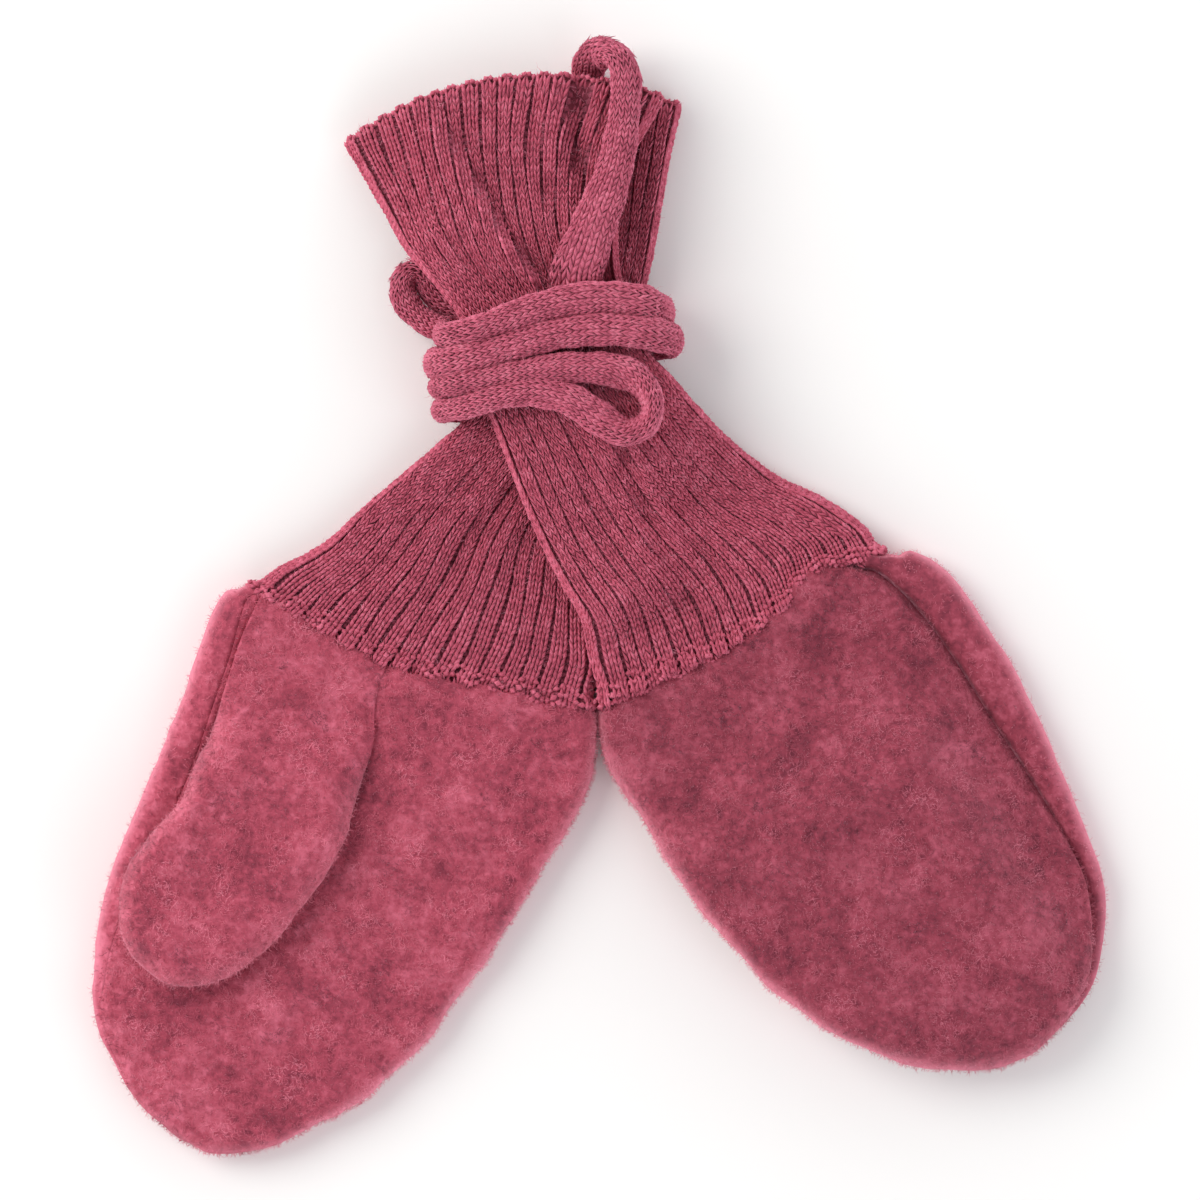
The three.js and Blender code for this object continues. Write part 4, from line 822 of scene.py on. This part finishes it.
def hand_panel(hand, upper):
    """The outer side of one fleece panel: its points, quads, plan places and painted edge
    highlight.
    """
    COLUMNS, TURN_ROWS, FLAT_ROWS = 84, 20, 18
    # Rows lie close as far as this past the roll, as a share of it, and past the seam
    CLOSE_PAST_ROLL, CLOSE_PAST_SEAM = 1.1, 2.5
    lines = pocket_lines(hand["outline"], hand["spine"], [(0, COLUMNS)])
    face = 1 if upper else -1
    # The way runs from the pocket's edge inwards, above 0 on its upper side and below 0 on
    # its lower one. A panel starts at its seam and goes over the rolled edge to the spine.
    seam = seam_way(hand, lines)[:, None]
    turned = face * np.maximum(CLOSE_PAST_ROLL * QUARTER_TURN, face * seam + CLOSE_PAST_SEAM)
    end = face * (QUARTER_TURN + lines["depth"][:, None] - HAND_ROLL)
    first = mix(seam, turned, np.linspace(0, 1, TURN_ROWS, endpoint=False)[None, :])
    second = mix(turned, end, np.linspace(0, 1, FLAT_ROWS + 1)[None, :] ** 1.15)
    way = np.concatenate([first, second], 1)
    size, sign = np.abs(way), np.sign(way)
    angle = np.minimum(1, size / QUARTER_TURN) * (math.pi / 2)
    inset = HAND_ROLL * (1 - np.cos(angle)) + np.maximum(0, size - QUARTER_TURN)
    across, along = plan_at(lines, inset)
    share = np.clip(inset / lines["depth"][:, None], 0, 1)
    crown = np.where(sign > 0, HAND_CROWN * share * (2 - share), 0)
    half = HAND_STACK / 2
    height = lift_of(hand, across, along) + half * (1 + sign * np.sin(angle)) + crown
    points, quads, plan, kept = pocket_sheet(hand, across, along, height)
    inside = points.mean(0)
    inside[2] = half + (THUMB_RISE if hand["lift"] else 0)
    quads = turned_outward(points, quads, inside)
    from_seam = np.abs(way - seam).reshape(-1)[kept]
    normals = corner_normals(points, quads)
    seam_valley = bell(from_seam, SIDE_VALLEY) + bell(from_seam, SIDE_CREASE)
    press = hand["seam_press"] * seam_valley + CUFF_PRESS * bell(plan[:, 1], CUFF_VALLEY)
    if upper == hand["palm_up"]:
        inside_by = inside_root(hand, plan)
        beside = bell(inside_by + 0.6, ROOT_VALLEY) * ease(plan[:, 0], *ROOT_CREASE_ACROSS)
        beside *= 1 - ease(plan[:, 1], *ROOT_CREASE_ALONG)
        press = press + ROOT_PRESS * ease(inside_by, -0.8, 1.6) + ROOT_CREASE * beside
    hills = hills_on(points, HAND_HILLS)
    if upper:
        press = press + crease_depth(hand["creases"], plan[:, 0], plan[:, 1])
    else:
        hills = np.minimum(0, hills)
    # Painted highlight where the panel turns sideways, faded out beside the seam
    edge_light = edge_light_of(normals) * (1 - bell(from_seam, EDGE_LIGHT_OFF_SEAM))
    return above_floor(points + normals * (hills - press)[:, None]), quads, plan, edge_light


def inside_root(hand, plan):
    """How far a place in a hand's plan lies inside the thumb's root, less than 0 outside it."""
    across, along = plan[..., 0], plan[..., 1]
    right = column(hand["thumb_outline"], "along", "right")(along)
    left = column(hand["thumb_outline"], "along", "left")(along)
    return np.minimum(np.minimum(right - across, across - left), THUMB_CROTCH - along)


def without_thumb_root(hand, points, quads, plan, edge_light):
    """Leaves out the palm's corner where the thumb grows from it, but for a tuck under it."""
    quads = quads[inside_root(hand, plan[quads].mean(1)) < ROOT_TUCK]
    used, renumbered = np.unique(quads, return_inverse=True)
    return points[used], renumbered.reshape(quads.shape), edge_light[used]


def thumb_panel(hand, is_outer):
    """The outer side of one thumb half: its points, quads and painted edge highlight."""
    FREE, ROOT, ROLL_ROWS, FLAT_ROWS = 46, 24, 12, 8
    spans = [(0, ROOT), (THUMB_CROTCH, FREE)] if is_outer else [(THUMB_CROTCH, FREE)]
    lines = pocket_lines(hand["thumb_outline"], hand["thumb_spine"], spans)
    away = 1 if hand["palm_up"] else -1
    depth = lines["depth"][:, None]
    roll = np.linspace(0, THUMB_ROLL, ROLL_ROWS, endpoint=False)[None, :] * np.ones_like(depth)
    flat = mix(THUMB_ROLL, depth, np.linspace(0, 1, FLAT_ROWS + 1)[None, :])
    inset = np.concatenate([roll, flat], 1)
    across, along = plan_at(lines, inset)
    swell = THUMB_RISE * ease(along, *THUMB_SWELL)
    edge_rise = THUMB_SEAM_RISE * ease(along, *THUMB_EDGE_LIFT)
    share = np.clip(inset / THUMB_ROLL, 0, 1)
    # A rounder shoulder than a flat sheet's: the pile hides the seam in the thumb's side.
    rise = mix(swell if is_outer else THUMB_REST, edge_rise, (1 - share) ** 2.4)
    level = HAND_STACK + 0.8 * HAND_CROWN if hand["palm_up"] else swell
    points, quads, plan, _ = pocket_sheet(hand, across, along, level + away * rise)
    normals = corner_normals(points, quads)
    if (normals[:, 2].sum() * away * (1 if is_outer else -1)) < 0:
        quads = quads[:, ::-1]
        normals = -normals
    hills = hills_on(points, THUMB_HILLS)
    if not hand["palm_up"] or not is_outer:
        hills = np.minimum(0, hills)
    press = CUFF_PRESS * bell(plan[:, 1], CUFF_VALLEY) if is_outer else 0
    moved = above_floor(points + normals * (hills - press)[:, None])
    # The thumbs take a weaker painted edge highlight.
    return moved, quads, THUMB_EDGE_LIGHT * edge_light_of(normals)


def pile_on(name, points, quads, count, material, edge_light=None, *, length, width, stand):
    """Short curled fibres that stand on a sheet, joined into one mesh."""
    normals = corner_normals(points, quads)
    area = np.linalg.norm(face_normals(points, quads), axis=1) / 2
    pick = rng.choice(len(quads), count, p=area / area.sum())
    u, v = rng.random((2, count, 1))
    corner = quads[pick]

    def over(values):
        low = mix(values[corner[:, 0]], values[corner[:, 1]], u)
        high = mix(values[corner[:, 3]], values[corner[:, 2]], u)
        return mix(low, high, v)

    def laid(ways):
        return unit(ways - normal * (ways * normal).sum(-1, keepdims=True))

    root, normal = over(points), unit(over(normals))
    along = laid(rng.normal(size=(count, 3)))
    bend = laid(rng.normal(size=(count, 3)))
    half = length * rng.uniform(0.5, 1.3, (count, 1)) * 0.5
    rise = stand * rng.uniform(0.35, 1.2, (count, 1))
    first = root + half * unit(along + normal * rise)
    curl = normal * rise * rng.uniform(-0.4, 0.8, (count, 1))
    last = first + half * unit(along * 0.5 + bend * 0.8 + curl)
    broad = width * unit(np.cross(along, normal) + normal * rng.normal(0, 0.3, (count, 1)))
    root = root - normal * 0.1
    sides = [root - broad / 2, root + broad / 2, first + broad * 0.4, first - broad * 0.4]
    strip = above_floor(np.stack([*sides, last], 1))
    # Each fibre takes the painted edge highlight of the place it stands on.
    if edge_light is not None:
        edge_light = np.repeat(over(edge_light[:, None])[:, 0], strip.shape[1])
    base = np.arange(count)[:, None] * 5
    faces = [base + np.array([[0, 1, 2, 3]]), base + np.array([[3, 2, 4]])]
    return make_mesh(name, strip, faces, material, edge_light=edge_light)


# Cuffs


class Cuff:
    """A flattened rib tube. Every place on it is read by row, from the seam to the rim, and
    by turn, from 0 at its left end over the top to 1."""

    def __init__(self, cuff):
        self.hand, self.folds = cuff["hand"], cuff["folds"]
        rows = dict(cuff["rows"])
        rows["row"] = np.arange(len(rows["left_x"]), dtype=float)
        self.last = rows["row"][-1]
        self.read = {name: column(rows, "row", name) for name in rows if name != "row"}

    def point(self, row, turn, lift):
        rib = 0.5 - 0.5 * np.cos(2 * math.pi * RIBS_AROUND * turn)
        lift = lift - RIM_CURL * ease(row, self.last - 0.2, self.last) ** 2
        # Where the cuff is sewn on, the seam gathers the knit into small lumps.
        uneven = np.sin(2 * math.pi * 29 * turn + 2 * np.sin(2 * math.pi * 5 * turn))
        lift = lift + SEAM_PUCKER * bell(row - 0.36, 0.13) * (0.5 + 0.5 * uneven)
        turn = turn + self.wander(row, turn)
        read = {name: f(row) for name, f in self.read.items()}
        left = np.stack([read["left_x"], read["left_y"]], -1)
        right = np.stack([read["right_x"], read["right_y"]], -1)
        span = np.linalg.norm(right - left, axis=-1)
        half_width, radius = span / 2 - RIB_HEIGHT, read["stack"] / 2 - RIB_HEIGHT
        out_across, out_up, across = self.section(turn, half_width, radius)
        across = across + out_across * lift
        share = np.clip(across / half_width, -1, 1)
        across_way = unit(right - left)
        rim_way = np.stack([-across_way[..., 1], across_way[..., 0]], -1)
        scallop = RIM_SCALLOP * (rib - 0.5) * ease(row, self.last - 0.6, self.last)
        bow = read["bow"] * (1 - share**2) + scallop
        plan = (left + right) / 2 + across_way * across[..., None] + rim_way * bow[..., None]
        plan = self.sewn_on(plan, row, across, read["follow"])
        ramp_span = read["ramp_to"] - read["ramp_from"]
        ramp_share = np.clip((share - read["ramp_from"]) / ramp_span, 0, 1)
        low = mix(read["low_left"], read["low_right"], ramp_share**2 * (3 - 2 * ramp_share))
        gather = read["gather"] * np.sin(share * math.pi * GATHERS_ACROSS)
        folded = self.fold_depth(row, share) * np.clip(out_up, 0, 1)
        # The knit goes in under the fleece's edge.
        pressed = SEAM_TUCK * np.clip(out_up, -1, 1) * (1 - ease(row, 0, 0.5))
        height = radius * out_up + out_up * lift
        z = low + read["stack"] / 2 + height + gather - folded - pressed
        return above_floor(np.stack([plan[..., 0], plan[..., 1], z], -1))

    def section(self, turn, half_width, radius):
        """The flattened tube's own section: which way it looks, and the place across it."""
        straight, quarter = 2 * (half_width - radius), math.pi * radius / 2
        length = straight + 2 * quarter
        way = (turn % 1) * 2 * length
        along = np.where(way <= length, way, 2 * length - way)
        up = np.where(way <= length, 1, -1)
        near, far = along < quarter, along > quarter + straight
        angle = np.where(near, along, np.where(far, 2 * quarter + straight - along, 0)) / radius
        cosine, sine = np.cos(angle), np.sin(angle)
        out_across = np.where(near, -cosine, np.where(far, cosine, 0))
        out_up = up * np.where(near | far, sine, 1)
        flat = radius - half_width + along - quarter
        middle = np.where(near, radius - half_width, np.where(far, half_width - radius, flat))
        return out_across, out_up, middle + radius * out_across

    def sewn_on(self, plan, row, across, follow):
        """Leads the cuff's first rows into the hand's own seam line."""
        hand, opening = self.hand, self.hand["outline"]
        fingers = np.array([math.sin(hand["turn"]), -math.cos(hand["turn"])])
        dip = column(hand["seam_line"], "across", "dip")(across)
        plan = plan + fingers * (follow * dip)[..., None]
        middle = (opening["left"][0] + opening["right"][0]) / 2
        seam = place_on(hand, middle + across, np.full_like(across, CUFF_TUCK))
        return mix(plan, np.stack(seam, -1), (1 - ease(row, 0, 0.9))[..., None])

    def wander(self, row, turn):
        """Ribs that don't run quite straight: a shift in turns, at most a third of a rib."""
        full = 2 * math.pi * turn
        waves = np.sin(3 * full + 0.9 * row) + 0.7 * np.sin(7 * full - 1.7 * row + 1)
        return RIB_WANDER / RIBS_AROUND * (waves + 0.5 * np.sin(13 * full + 2.9 * row))

    def fold_depth(self, row, share):
        total = np.zeros_like(share)
        for first, last, start, end, depth, to_depth, width, to_width, skew in zip(
            *self.folds.values()
        ):
            at = np.clip((row - first) / (last - first), 0, 1)
            fade = ease(row, first - 0.6, first + 0.5) * (1 - ease(row, last - 0.5, last + 0.6))
            gap = share - mix(start, end, at)
            half_width = mix(width, to_width, at) * (1 + skew * np.sign(gap))
            total += mix(depth, to_depth, at) * fade * bell(gap, half_width)
        return total

    def length_rows(self, step):
        """Row values that lie step apart along the cuff's middle."""
        SAMPLES = 400
        rows = np.linspace(0, self.last, SAMPLES)
        length = length_along(self.point(rows, np.full(SAMPLES, 0.25), np.zeros(SAMPLES)))
        count = int(round(length[-1] / step))
        return np.interp(np.linspace(0, length[-1], count + 1), length, rows)


# One leg of a stitch: a grain pointed at both ends, of unit half sizes
GRAIN = np.array([(0, -1, 0), (1, 0, 0), (0, 0, 1), (-1, 0, 0), (0, 0, -1), (0, 1, 0)], float)
GRAIN_START = [(0, 2, 1), (0, 3, 2), (0, 4, 3), (0, 1, 4)]
GRAIN_END = [(5, 1, 2), (5, 2, 3), (5, 3, 4), (5, 4, 1)]
GRAIN_FACES = np.array(GRAIN_START + GRAIN_END)


def stitch_mesh(name, legs, material):
    """Many grains at once, each turned its own way, as one mesh."""
    middle, ahead, across, out, half_length, half_width, half_height = legs
    points = middle[:, None]
    for n, way, size in ((0, across, half_width), (1, ahead, half_length), (2, out, half_height)):
        points = points + way[:, None] * (GRAIN[None, :, n, None] * size[:, None, None])
    faces = np.arange(len(middle))[:, None, None] * len(GRAIN) + GRAIN_FACES[None]
    return make_mesh(name, above_floor(points), [faces.reshape(-1, 3)], material)


def grains(middle, way, out, half_length, half_width, half_height):
    return middle, way, unit(np.cross(way, out)), out, half_length, half_width, half_height


def joined(*groups):
    return [np.concatenate(kind) for kind in zip(*groups)]


def knit_frame(place, rows, turns, pitch_turn, lift):
    """For every stitch on a knit surface: its middle, the ways along, across and out of it,
    its height and the width of its column. place(row, turn, lift) gives a point."""
    row, turn = np.meshgrid((rows[:-1] + rows[1:]) / 2, turns, indexing="ij")
    row, turn = row.reshape(-1), turn.reshape(-1)
    step = np.repeat(np.diff(rows), len(turns))
    # Neighbouring columns don't keep level, so no line runs straight across the knit.
    level = 0.12 * np.sin(2.4 * np.arange(len(turns))) + rng.normal(0, 0.06, len(turns))
    row = row + step * np.tile(level, len(rows) - 1)
    ahead = place(row + step / 2, turn, lift) - place(row - step / 2, turn, lift)
    across = place(row, turn + pitch_turn / 2, lift) - place(row, turn - pitch_turn / 2, lift)
    height, pitch = np.linalg.norm(ahead, axis=1), np.linalg.norm(across, axis=1)
    middle = place(row, turn, lift)
    ahead = unit(ahead)
    out = unit(np.cross(unit(across), ahead))
    out *= np.sign(((middle - place(row, turn, lift - 1.0)) * out).sum(-1, keepdims=True))
    return middle, ahead, unit(np.cross(ahead, out)), out, height, pitch


def vee_stitches(frame_of, columns, share, widest, stout, slant):
    """Two legs to a stitch that lean together, in columns beside each turn, counted in their
    own widths. A leg is stout times as wide as its column on each side and leans by slant."""
    middle, ahead, across, out, height, pitch = frame_of
    count = len(middle)
    width = np.minimum(pitch * share, widest)

    def spread(amount):
        return rng.normal(0, amount, count)

    legs = []
    for at in columns:
        for side in (-1, 1):
            lean = side * (slant + spread(0.06))
            way = unit(ahead + across * lean[:, None] + out * spread(0.06)[:, None])
            beside = (at + side * 0.25) * width + spread(0.03)
            raised = spread(0.04) - 0.1 * abs(at) * width
            place = middle + across * beside[:, None] + out * raised[:, None]
            half_length = height * rng.uniform(0.95, 1.2, count)
            half_width = width * stout * rng.uniform(0.88, 1.12, count)
            half_height = np.minimum(width * 0.36, 0.5)
            legs.append(grains(place, way, out, half_length, half_width, half_height))
    return joined(*legs)


def purl_bumps(frame_of, share):
    """The valley between two ribs: one bump across it for each row."""
    LONGEST, WIDTH_SHARE, HALF_HEIGHT = 1.3, 0.6, 0.36
    middle, ahead, across, out, height, pitch = frame_of
    count = len(middle)
    way = unit(across + ahead * rng.normal(0, 0.15, count)[:, None])
    middle = middle + out * rng.normal(0, 0.05, count)[:, None]
    half_length = np.minimum(pitch * share, LONGEST) * rng.uniform(0.85, 1.15, count)
    half_height = np.full(count, HALF_HEIGHT)
    return grains(middle, way, out, half_length, height * WIDTH_SHARE, half_height)


def edge_stitches(tube, at_row, raised):
    """Plump stitches one after another round the cuff, such as its cast-on edge."""
    LENGTH_SHARE, HALF_WIDTH, HALF_HEIGHT = 0.72, 0.62, 0.7
    count = RIBS_AROUND * 4
    turn = (np.arange(count) + 0.5) / count
    # The rings at the hand's seam don't run level.
    row = at_row + (0.05 if at_row < 1 else 0.0) * np.sin(0.9 * np.arange(count))
    lift = np.full(count, raised)
    middle = tube.point(row, turn, lift)
    ring = tube.point(row, turn + 0.5 / count, lift) - tube.point(row, turn - 0.5 / count, lift)
    out = unit(middle - tube.point(row, turn, lift - 1.0))
    rimward = unit(tube.point(row + 0.05, turn, lift) - tube.point(row - 0.05, turn, lift))
    size = np.linalg.norm(ring, axis=1)
    way = unit(ring + rimward * rng.normal(0, 0.45, (count, 1)) * size[:, None])
    half_width, half_height = np.full(count, HALF_WIDTH), np.full(count, HALF_HEIGHT)
    return grains(middle, way, out, size * LENGTH_SHARE, half_width, half_height)


# Building


def dress(piece, node):
    """Hangs a piece on the part's one body. Only the cloth itself stands for a node."""
    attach(piece, "root")
    if node:
        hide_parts(node)


def make_fleece(side, part, points, quads, edge_light, fibres, flat, area):
    shell, faces = thick_cloth(points, quads, FLEECE_SHELL)
    name = f"{side}_{part}"
    cloth = make_mesh(name + "_cloth", shell, [faces], FLEECE_CLOTHS[side], edge_light=np.tile(edge_light, 2))
    dress(cloth, name)
    material = FLEECE_PILES[side]
    pile = pile_on(name + "_pile", points, quads, fibres, material, edge_light, **FLEECE_FIBRES)
    dress(pile, None)


def make_hand(side, hand, fibres):
    for part, is_palm in (("back_panel", False), ("palm_panel", True)):
        upper = is_palm == hand["palm_up"]
        points, quads, plan, edge_light = hand_panel(hand, upper)
        if is_palm:
            points, quads, edge_light = without_thumb_root(hand, points, quads, plan, edge_light)
        count = fibres["upper"] if upper else fibres["lower"]
        area = PALM_AREA if is_palm else BACK_AREA
        make_fleece(side, part, points, quads, edge_light, count, PANEL_FLAT, area)
    outer = thumb_panel(hand, True)
    count = fibres["thumb"] if hand["palm_up"] else fibres["thumb_hidden"]
    make_fleece(side, "thumb_outer", *outer, count, THUMB_OUTER_FLAT, THUMB_OUTER_AREA)
    inner = thumb_panel(hand, False)
    count = fibres["thumb_hidden"]
    make_fleece(side, "thumb_inner", *inner, count, THUMB_INNER_FLAT, THUMB_INNER_AREA)


def make_cuff(side, cuff):
    tube = Cuff(cuff)
    name = f"{side}_cuff"
    AROUND, GROUND_STEP, STITCH_STEP = RIBS_AROUND * 5, 2.4, 1.3
    row, turn = np.meshgrid(
        tube.length_rows(GROUND_STEP), np.arange(AROUND) / AROUND, indexing="ij"
    )
    valley = 0.5 + 0.5 * np.cos(2 * math.pi * RIBS_AROUND * turn)
    ground = tube.point(row, turn, GROUND_LEVEL - GROUND_VALLEY * valley)
    points, quads = ground.reshape(-1, 3), grid_faces(*row.shape, around=True)
    quads = turned_outward(points, quads, points.mean(0))
    shell, faces = thick_cloth(points, quads, KNIT_SHELL)
    cloth = make_mesh(name + "_ground", shell, [faces], CUFF_GROUND_SHADE)
    dress(cloth, name)

    def place(row, turn, lift=0.0):
        lift = np.full(np.shape(row), lift, float)
        return tube.point(np.clip(row, 0, tube.last), turn, lift)

    knit_rows = tube.length_rows(STITCH_STEP)
    knit_rows = knit_rows[knit_rows < tube.last - 0.04]
    pitch = 1 / RIBS_AROUND
    on_ribs, in_valleys = ((np.arange(RIBS_AROUND) + share) * pitch for share in (0.5, 0.0))
    ribs = knit_frame(place, knit_rows, on_ribs, pitch, RIB_LEVEL)
    legs = vee_stitches(ribs, (-0.5, 0.5), share=0.42, widest=1.8, stout=0.24, slant=0.24)
    valleys = knit_frame(place, knit_rows, in_valleys, pitch, VALLEY_LEVEL)
    bumps = purl_bumps(valleys, share=0.22)
    # One ring of stitches at the rim, and three where the cuff is sewn on
    ring_places = ((tube.last - 0.03, 0.3), (0.26, 0.3), (0.4, 0.4), (0.52, 0.3))
    rings = [edge_stitches(tube, *at) for at in ring_places]
    dress(stitch_mesh(name + "_stitches", joined(legs, *rings), CUFF_YARN), None)
    # The bumps in the valleys wear the yarn painted darker for shade.
    dress(stitch_mesh(name + "_purls", bumps, CUFF_VALLEY_SHADE), None)
    hairs = pile_on(name + "_hairs", points, quads, HAIRS_ON_A_CUFF, YARN_FUZZ, **CUFF_HAIRS)
    dress(hairs, None)


def make_cord(name, rows):
    SIDES, STEP, STITCHES_AROUND, STITCH_STEP = 14, 1.6, 15, 1.35
    centres = np.stack([rows["x"], rows["y"], rows["z"]], -1)
    dense = smooth_line(centres, 60 * (len(centres) - 1) + 1)
    place_of = np.linspace(0, len(centres) - 1, len(dense))
    length = length_along(dense)
    keys = np.arange(len(centres))

    def middle_at(value):
        return np.stack([np.interp(value, length, dense[:, n]) for n in range(3)], -1)

    def place(value, turn, lift=0.0):
        held = np.clip(value, 0, length[-1])
        forward = unit(middle_at(held + 0.3) - middle_at(held - 0.3))
        row = np.interp(held, length, place_of)
        side = np.stack([np.interp(row, keys, rows["side_" + n]) for n in "xyz"], -1)
        side = unit(side - forward * (side * forward).sum(-1, keepdims=True))
        wide, thick = (np.interp(row, keys, rows[size]) for size in ("wide", "thick"))
        angle = 2 * math.pi * np.asarray(turn)
        plump = CORD_PRESS * (1 + 0.5 * np.sin(0.31 * value) * np.sin(0.83 * value))
        across = (wide / 2 + plump - CORD_GROUND_DEPTH + lift) * np.cos(angle)
        rise = (thick / 2 - CORD_GROUND_DEPTH + lift) * np.sin(angle)
        up = np.cross(forward, side)
        return middle_at(held) + side * across[..., None] + up * rise[..., None]

    values = np.linspace(0, length[-1], int(round(length[-1] / STEP)) + 1)
    row, turn = np.meshgrid(values, np.arange(SIDES) / SIDES, indexing="ij")
    points = place(row.reshape(-1), turn.reshape(-1))
    quads = grid_faces(*row.shape, around=True)
    path = middle_at(values)
    total = len(points)
    first, last = np.arange(SIDES), (len(values) - 1) * SIDES + np.arange(SIDES)
    caps = [
        np.stack([np.full(SIDES, total + n), ring, np.roll(ring, -1)], -1)
        for n, ring in enumerate((last, first[::-1]))
    ]
    points = np.concatenate([points, path[[-1, 0]]])
    tube = make_mesh(name + "_ground", points, [quads, *caps], CORD_GROUND_SHADE)
    dress(tube, name)
    stitch_rows = max(4, int(round(length[-1] / STITCH_STEP))) + 1
    stitch_rows = np.linspace(0, length[-1], stitch_rows)
    turns = (np.arange(STITCHES_AROUND) + 0.25) / STITCHES_AROUND
    knit = knit_frame(place, stitch_rows, turns, 1 / STITCHES_AROUND, CORD_LEVEL)
    legs = vee_stitches(knit, (0.0,), share=1.06, widest=2.2, stout=0.25, slant=0.3)
    dress(stitch_mesh(name + "_stitches", legs, CORD_YARN), None)
    count = int(CORD_HAIRS_PER_MM * length[-1])
    hairs = pile_on(name + "_hairs", points[:total], quads, count, YARN_FUZZ, **CORD_HAIRS)
    dress(hairs, None)


def make_floor():
    """Matt white paper, which takes a soft shadow and no gloss."""
    material, tree, _ = start_material("pale_paper_floor")
    paper = {"Base Color": colour("#fbfbfb"), "Roughness": 0.9, "Specular IOR Level": 0.2}
    finish_material(tree, paper)
    SIZE = 1500.0
    corners = np.array([(-SIZE, -SIZE, 0), (SIZE, -SIZE, 0), (SIZE, SIZE, 0), (-SIZE, SIZE, 0)])
    make_mesh("floor", corners, [np.array([[0, 1, 2, 3]])], material, smooth=False)


def make_light(name, place, power, tint):
    """A soft round light 0.8 m across, turned to the mittens."""
    light = bpy.data.lights.new(name, "AREA")
    light.shape = "DISK"
    light.size = 0.8
    light.energy = power
    light.color = colour(tint)[:3]
    lamp = bpy.data.objects.new(name, light)
    lamp.location = place
    lamp.rotation_euler = (-Vector(place)).to_track_quat("-Z", "Y").to_euler()
    bpy.context.scene.collection.objects.link(lamp)


def make_camera():
    data = bpy.data.cameras.new("camera")
    picture = PHOTO_SIZE * MM_PER_PIXEL
    data.sensor_width = SENSOR
    data.lens = SENSOR * (CAMERA_HEIGHT - PICTURE_LEVEL) / picture
    data.clip_start = 0.05
    data.clip_end = 10.0
    camera = bpy.data.objects.new("camera", data)
    middle = PHOTO_SIZE / 2
    x = (middle - PHOTO_ORIGIN[0]) * MM_PER_PIXEL
    y = (PHOTO_ORIGIN[1] - middle) * MM_PER_PIXEL
    camera.location = (x * MM, y * MM, CAMERA_HEIGHT * MM)
    bpy.context.scene.collection.objects.link(camera)
    bpy.context.scene.camera = camera


def make_world():
    bpy.context.scene.view_settings.view_transform = "Standard"
    world = bpy.data.worlds.new("soft_daylight")
    bpy.context.scene.world = world
    world.use_nodes = True
    tree = world.node_tree
    tree.nodes.clear()
    # The sides of the light tent are brighter than its top, which lightens the cloth's edges.
    way = add(tree, "TexCoord").outputs["Generated"]
    height = add(tree, "SeparateXYZ", {"Vector": way}).outputs["Z"]
    tent = {"Value": height, "From Min": 0.1, "From Max": 0.8, "To Min": 2.1, "To Max": 0.31}
    strength = add(tree, "MapRange", tent, interpolation_type="SMOOTHSTEP")
    light = {"Color": colour("#ffffff"), "Strength": strength.outputs["Result"]}
    sky = add(tree, "Background", light)
    add(tree, "OutputWorld", {"Surface": sky.outputs["Background"]})


make_camera()
make_world()
make_light("window_left", (-0.8, 0.4, 0.8), 7.9, "#fffaf5")
make_light("reflector_right", (0.8, -0.5, 0.9), 2.4, "#f5f8ff")
make_floor()

for cord_name, cord_rows in CORDS.items():
    make_cord(cord_name, cord_rows)
make_cuff("right", RIGHT_CUFF)
make_cuff("left", LEFT_CUFF)

# How many fibres each panel's pile has
RIGHT_PILE = {"upper": 34000, "lower": 9000, "thumb": 12000, "thumb_hidden": 4000}
LEFT_PILE = {"upper": 34000, "lower": 8000, "thumb": 6000, "thumb_hidden": 3000}
make_hand("right", RIGHT_HAND, RIGHT_PILE)
make_hand("left", LEFT_HAND, LEFT_PILE)
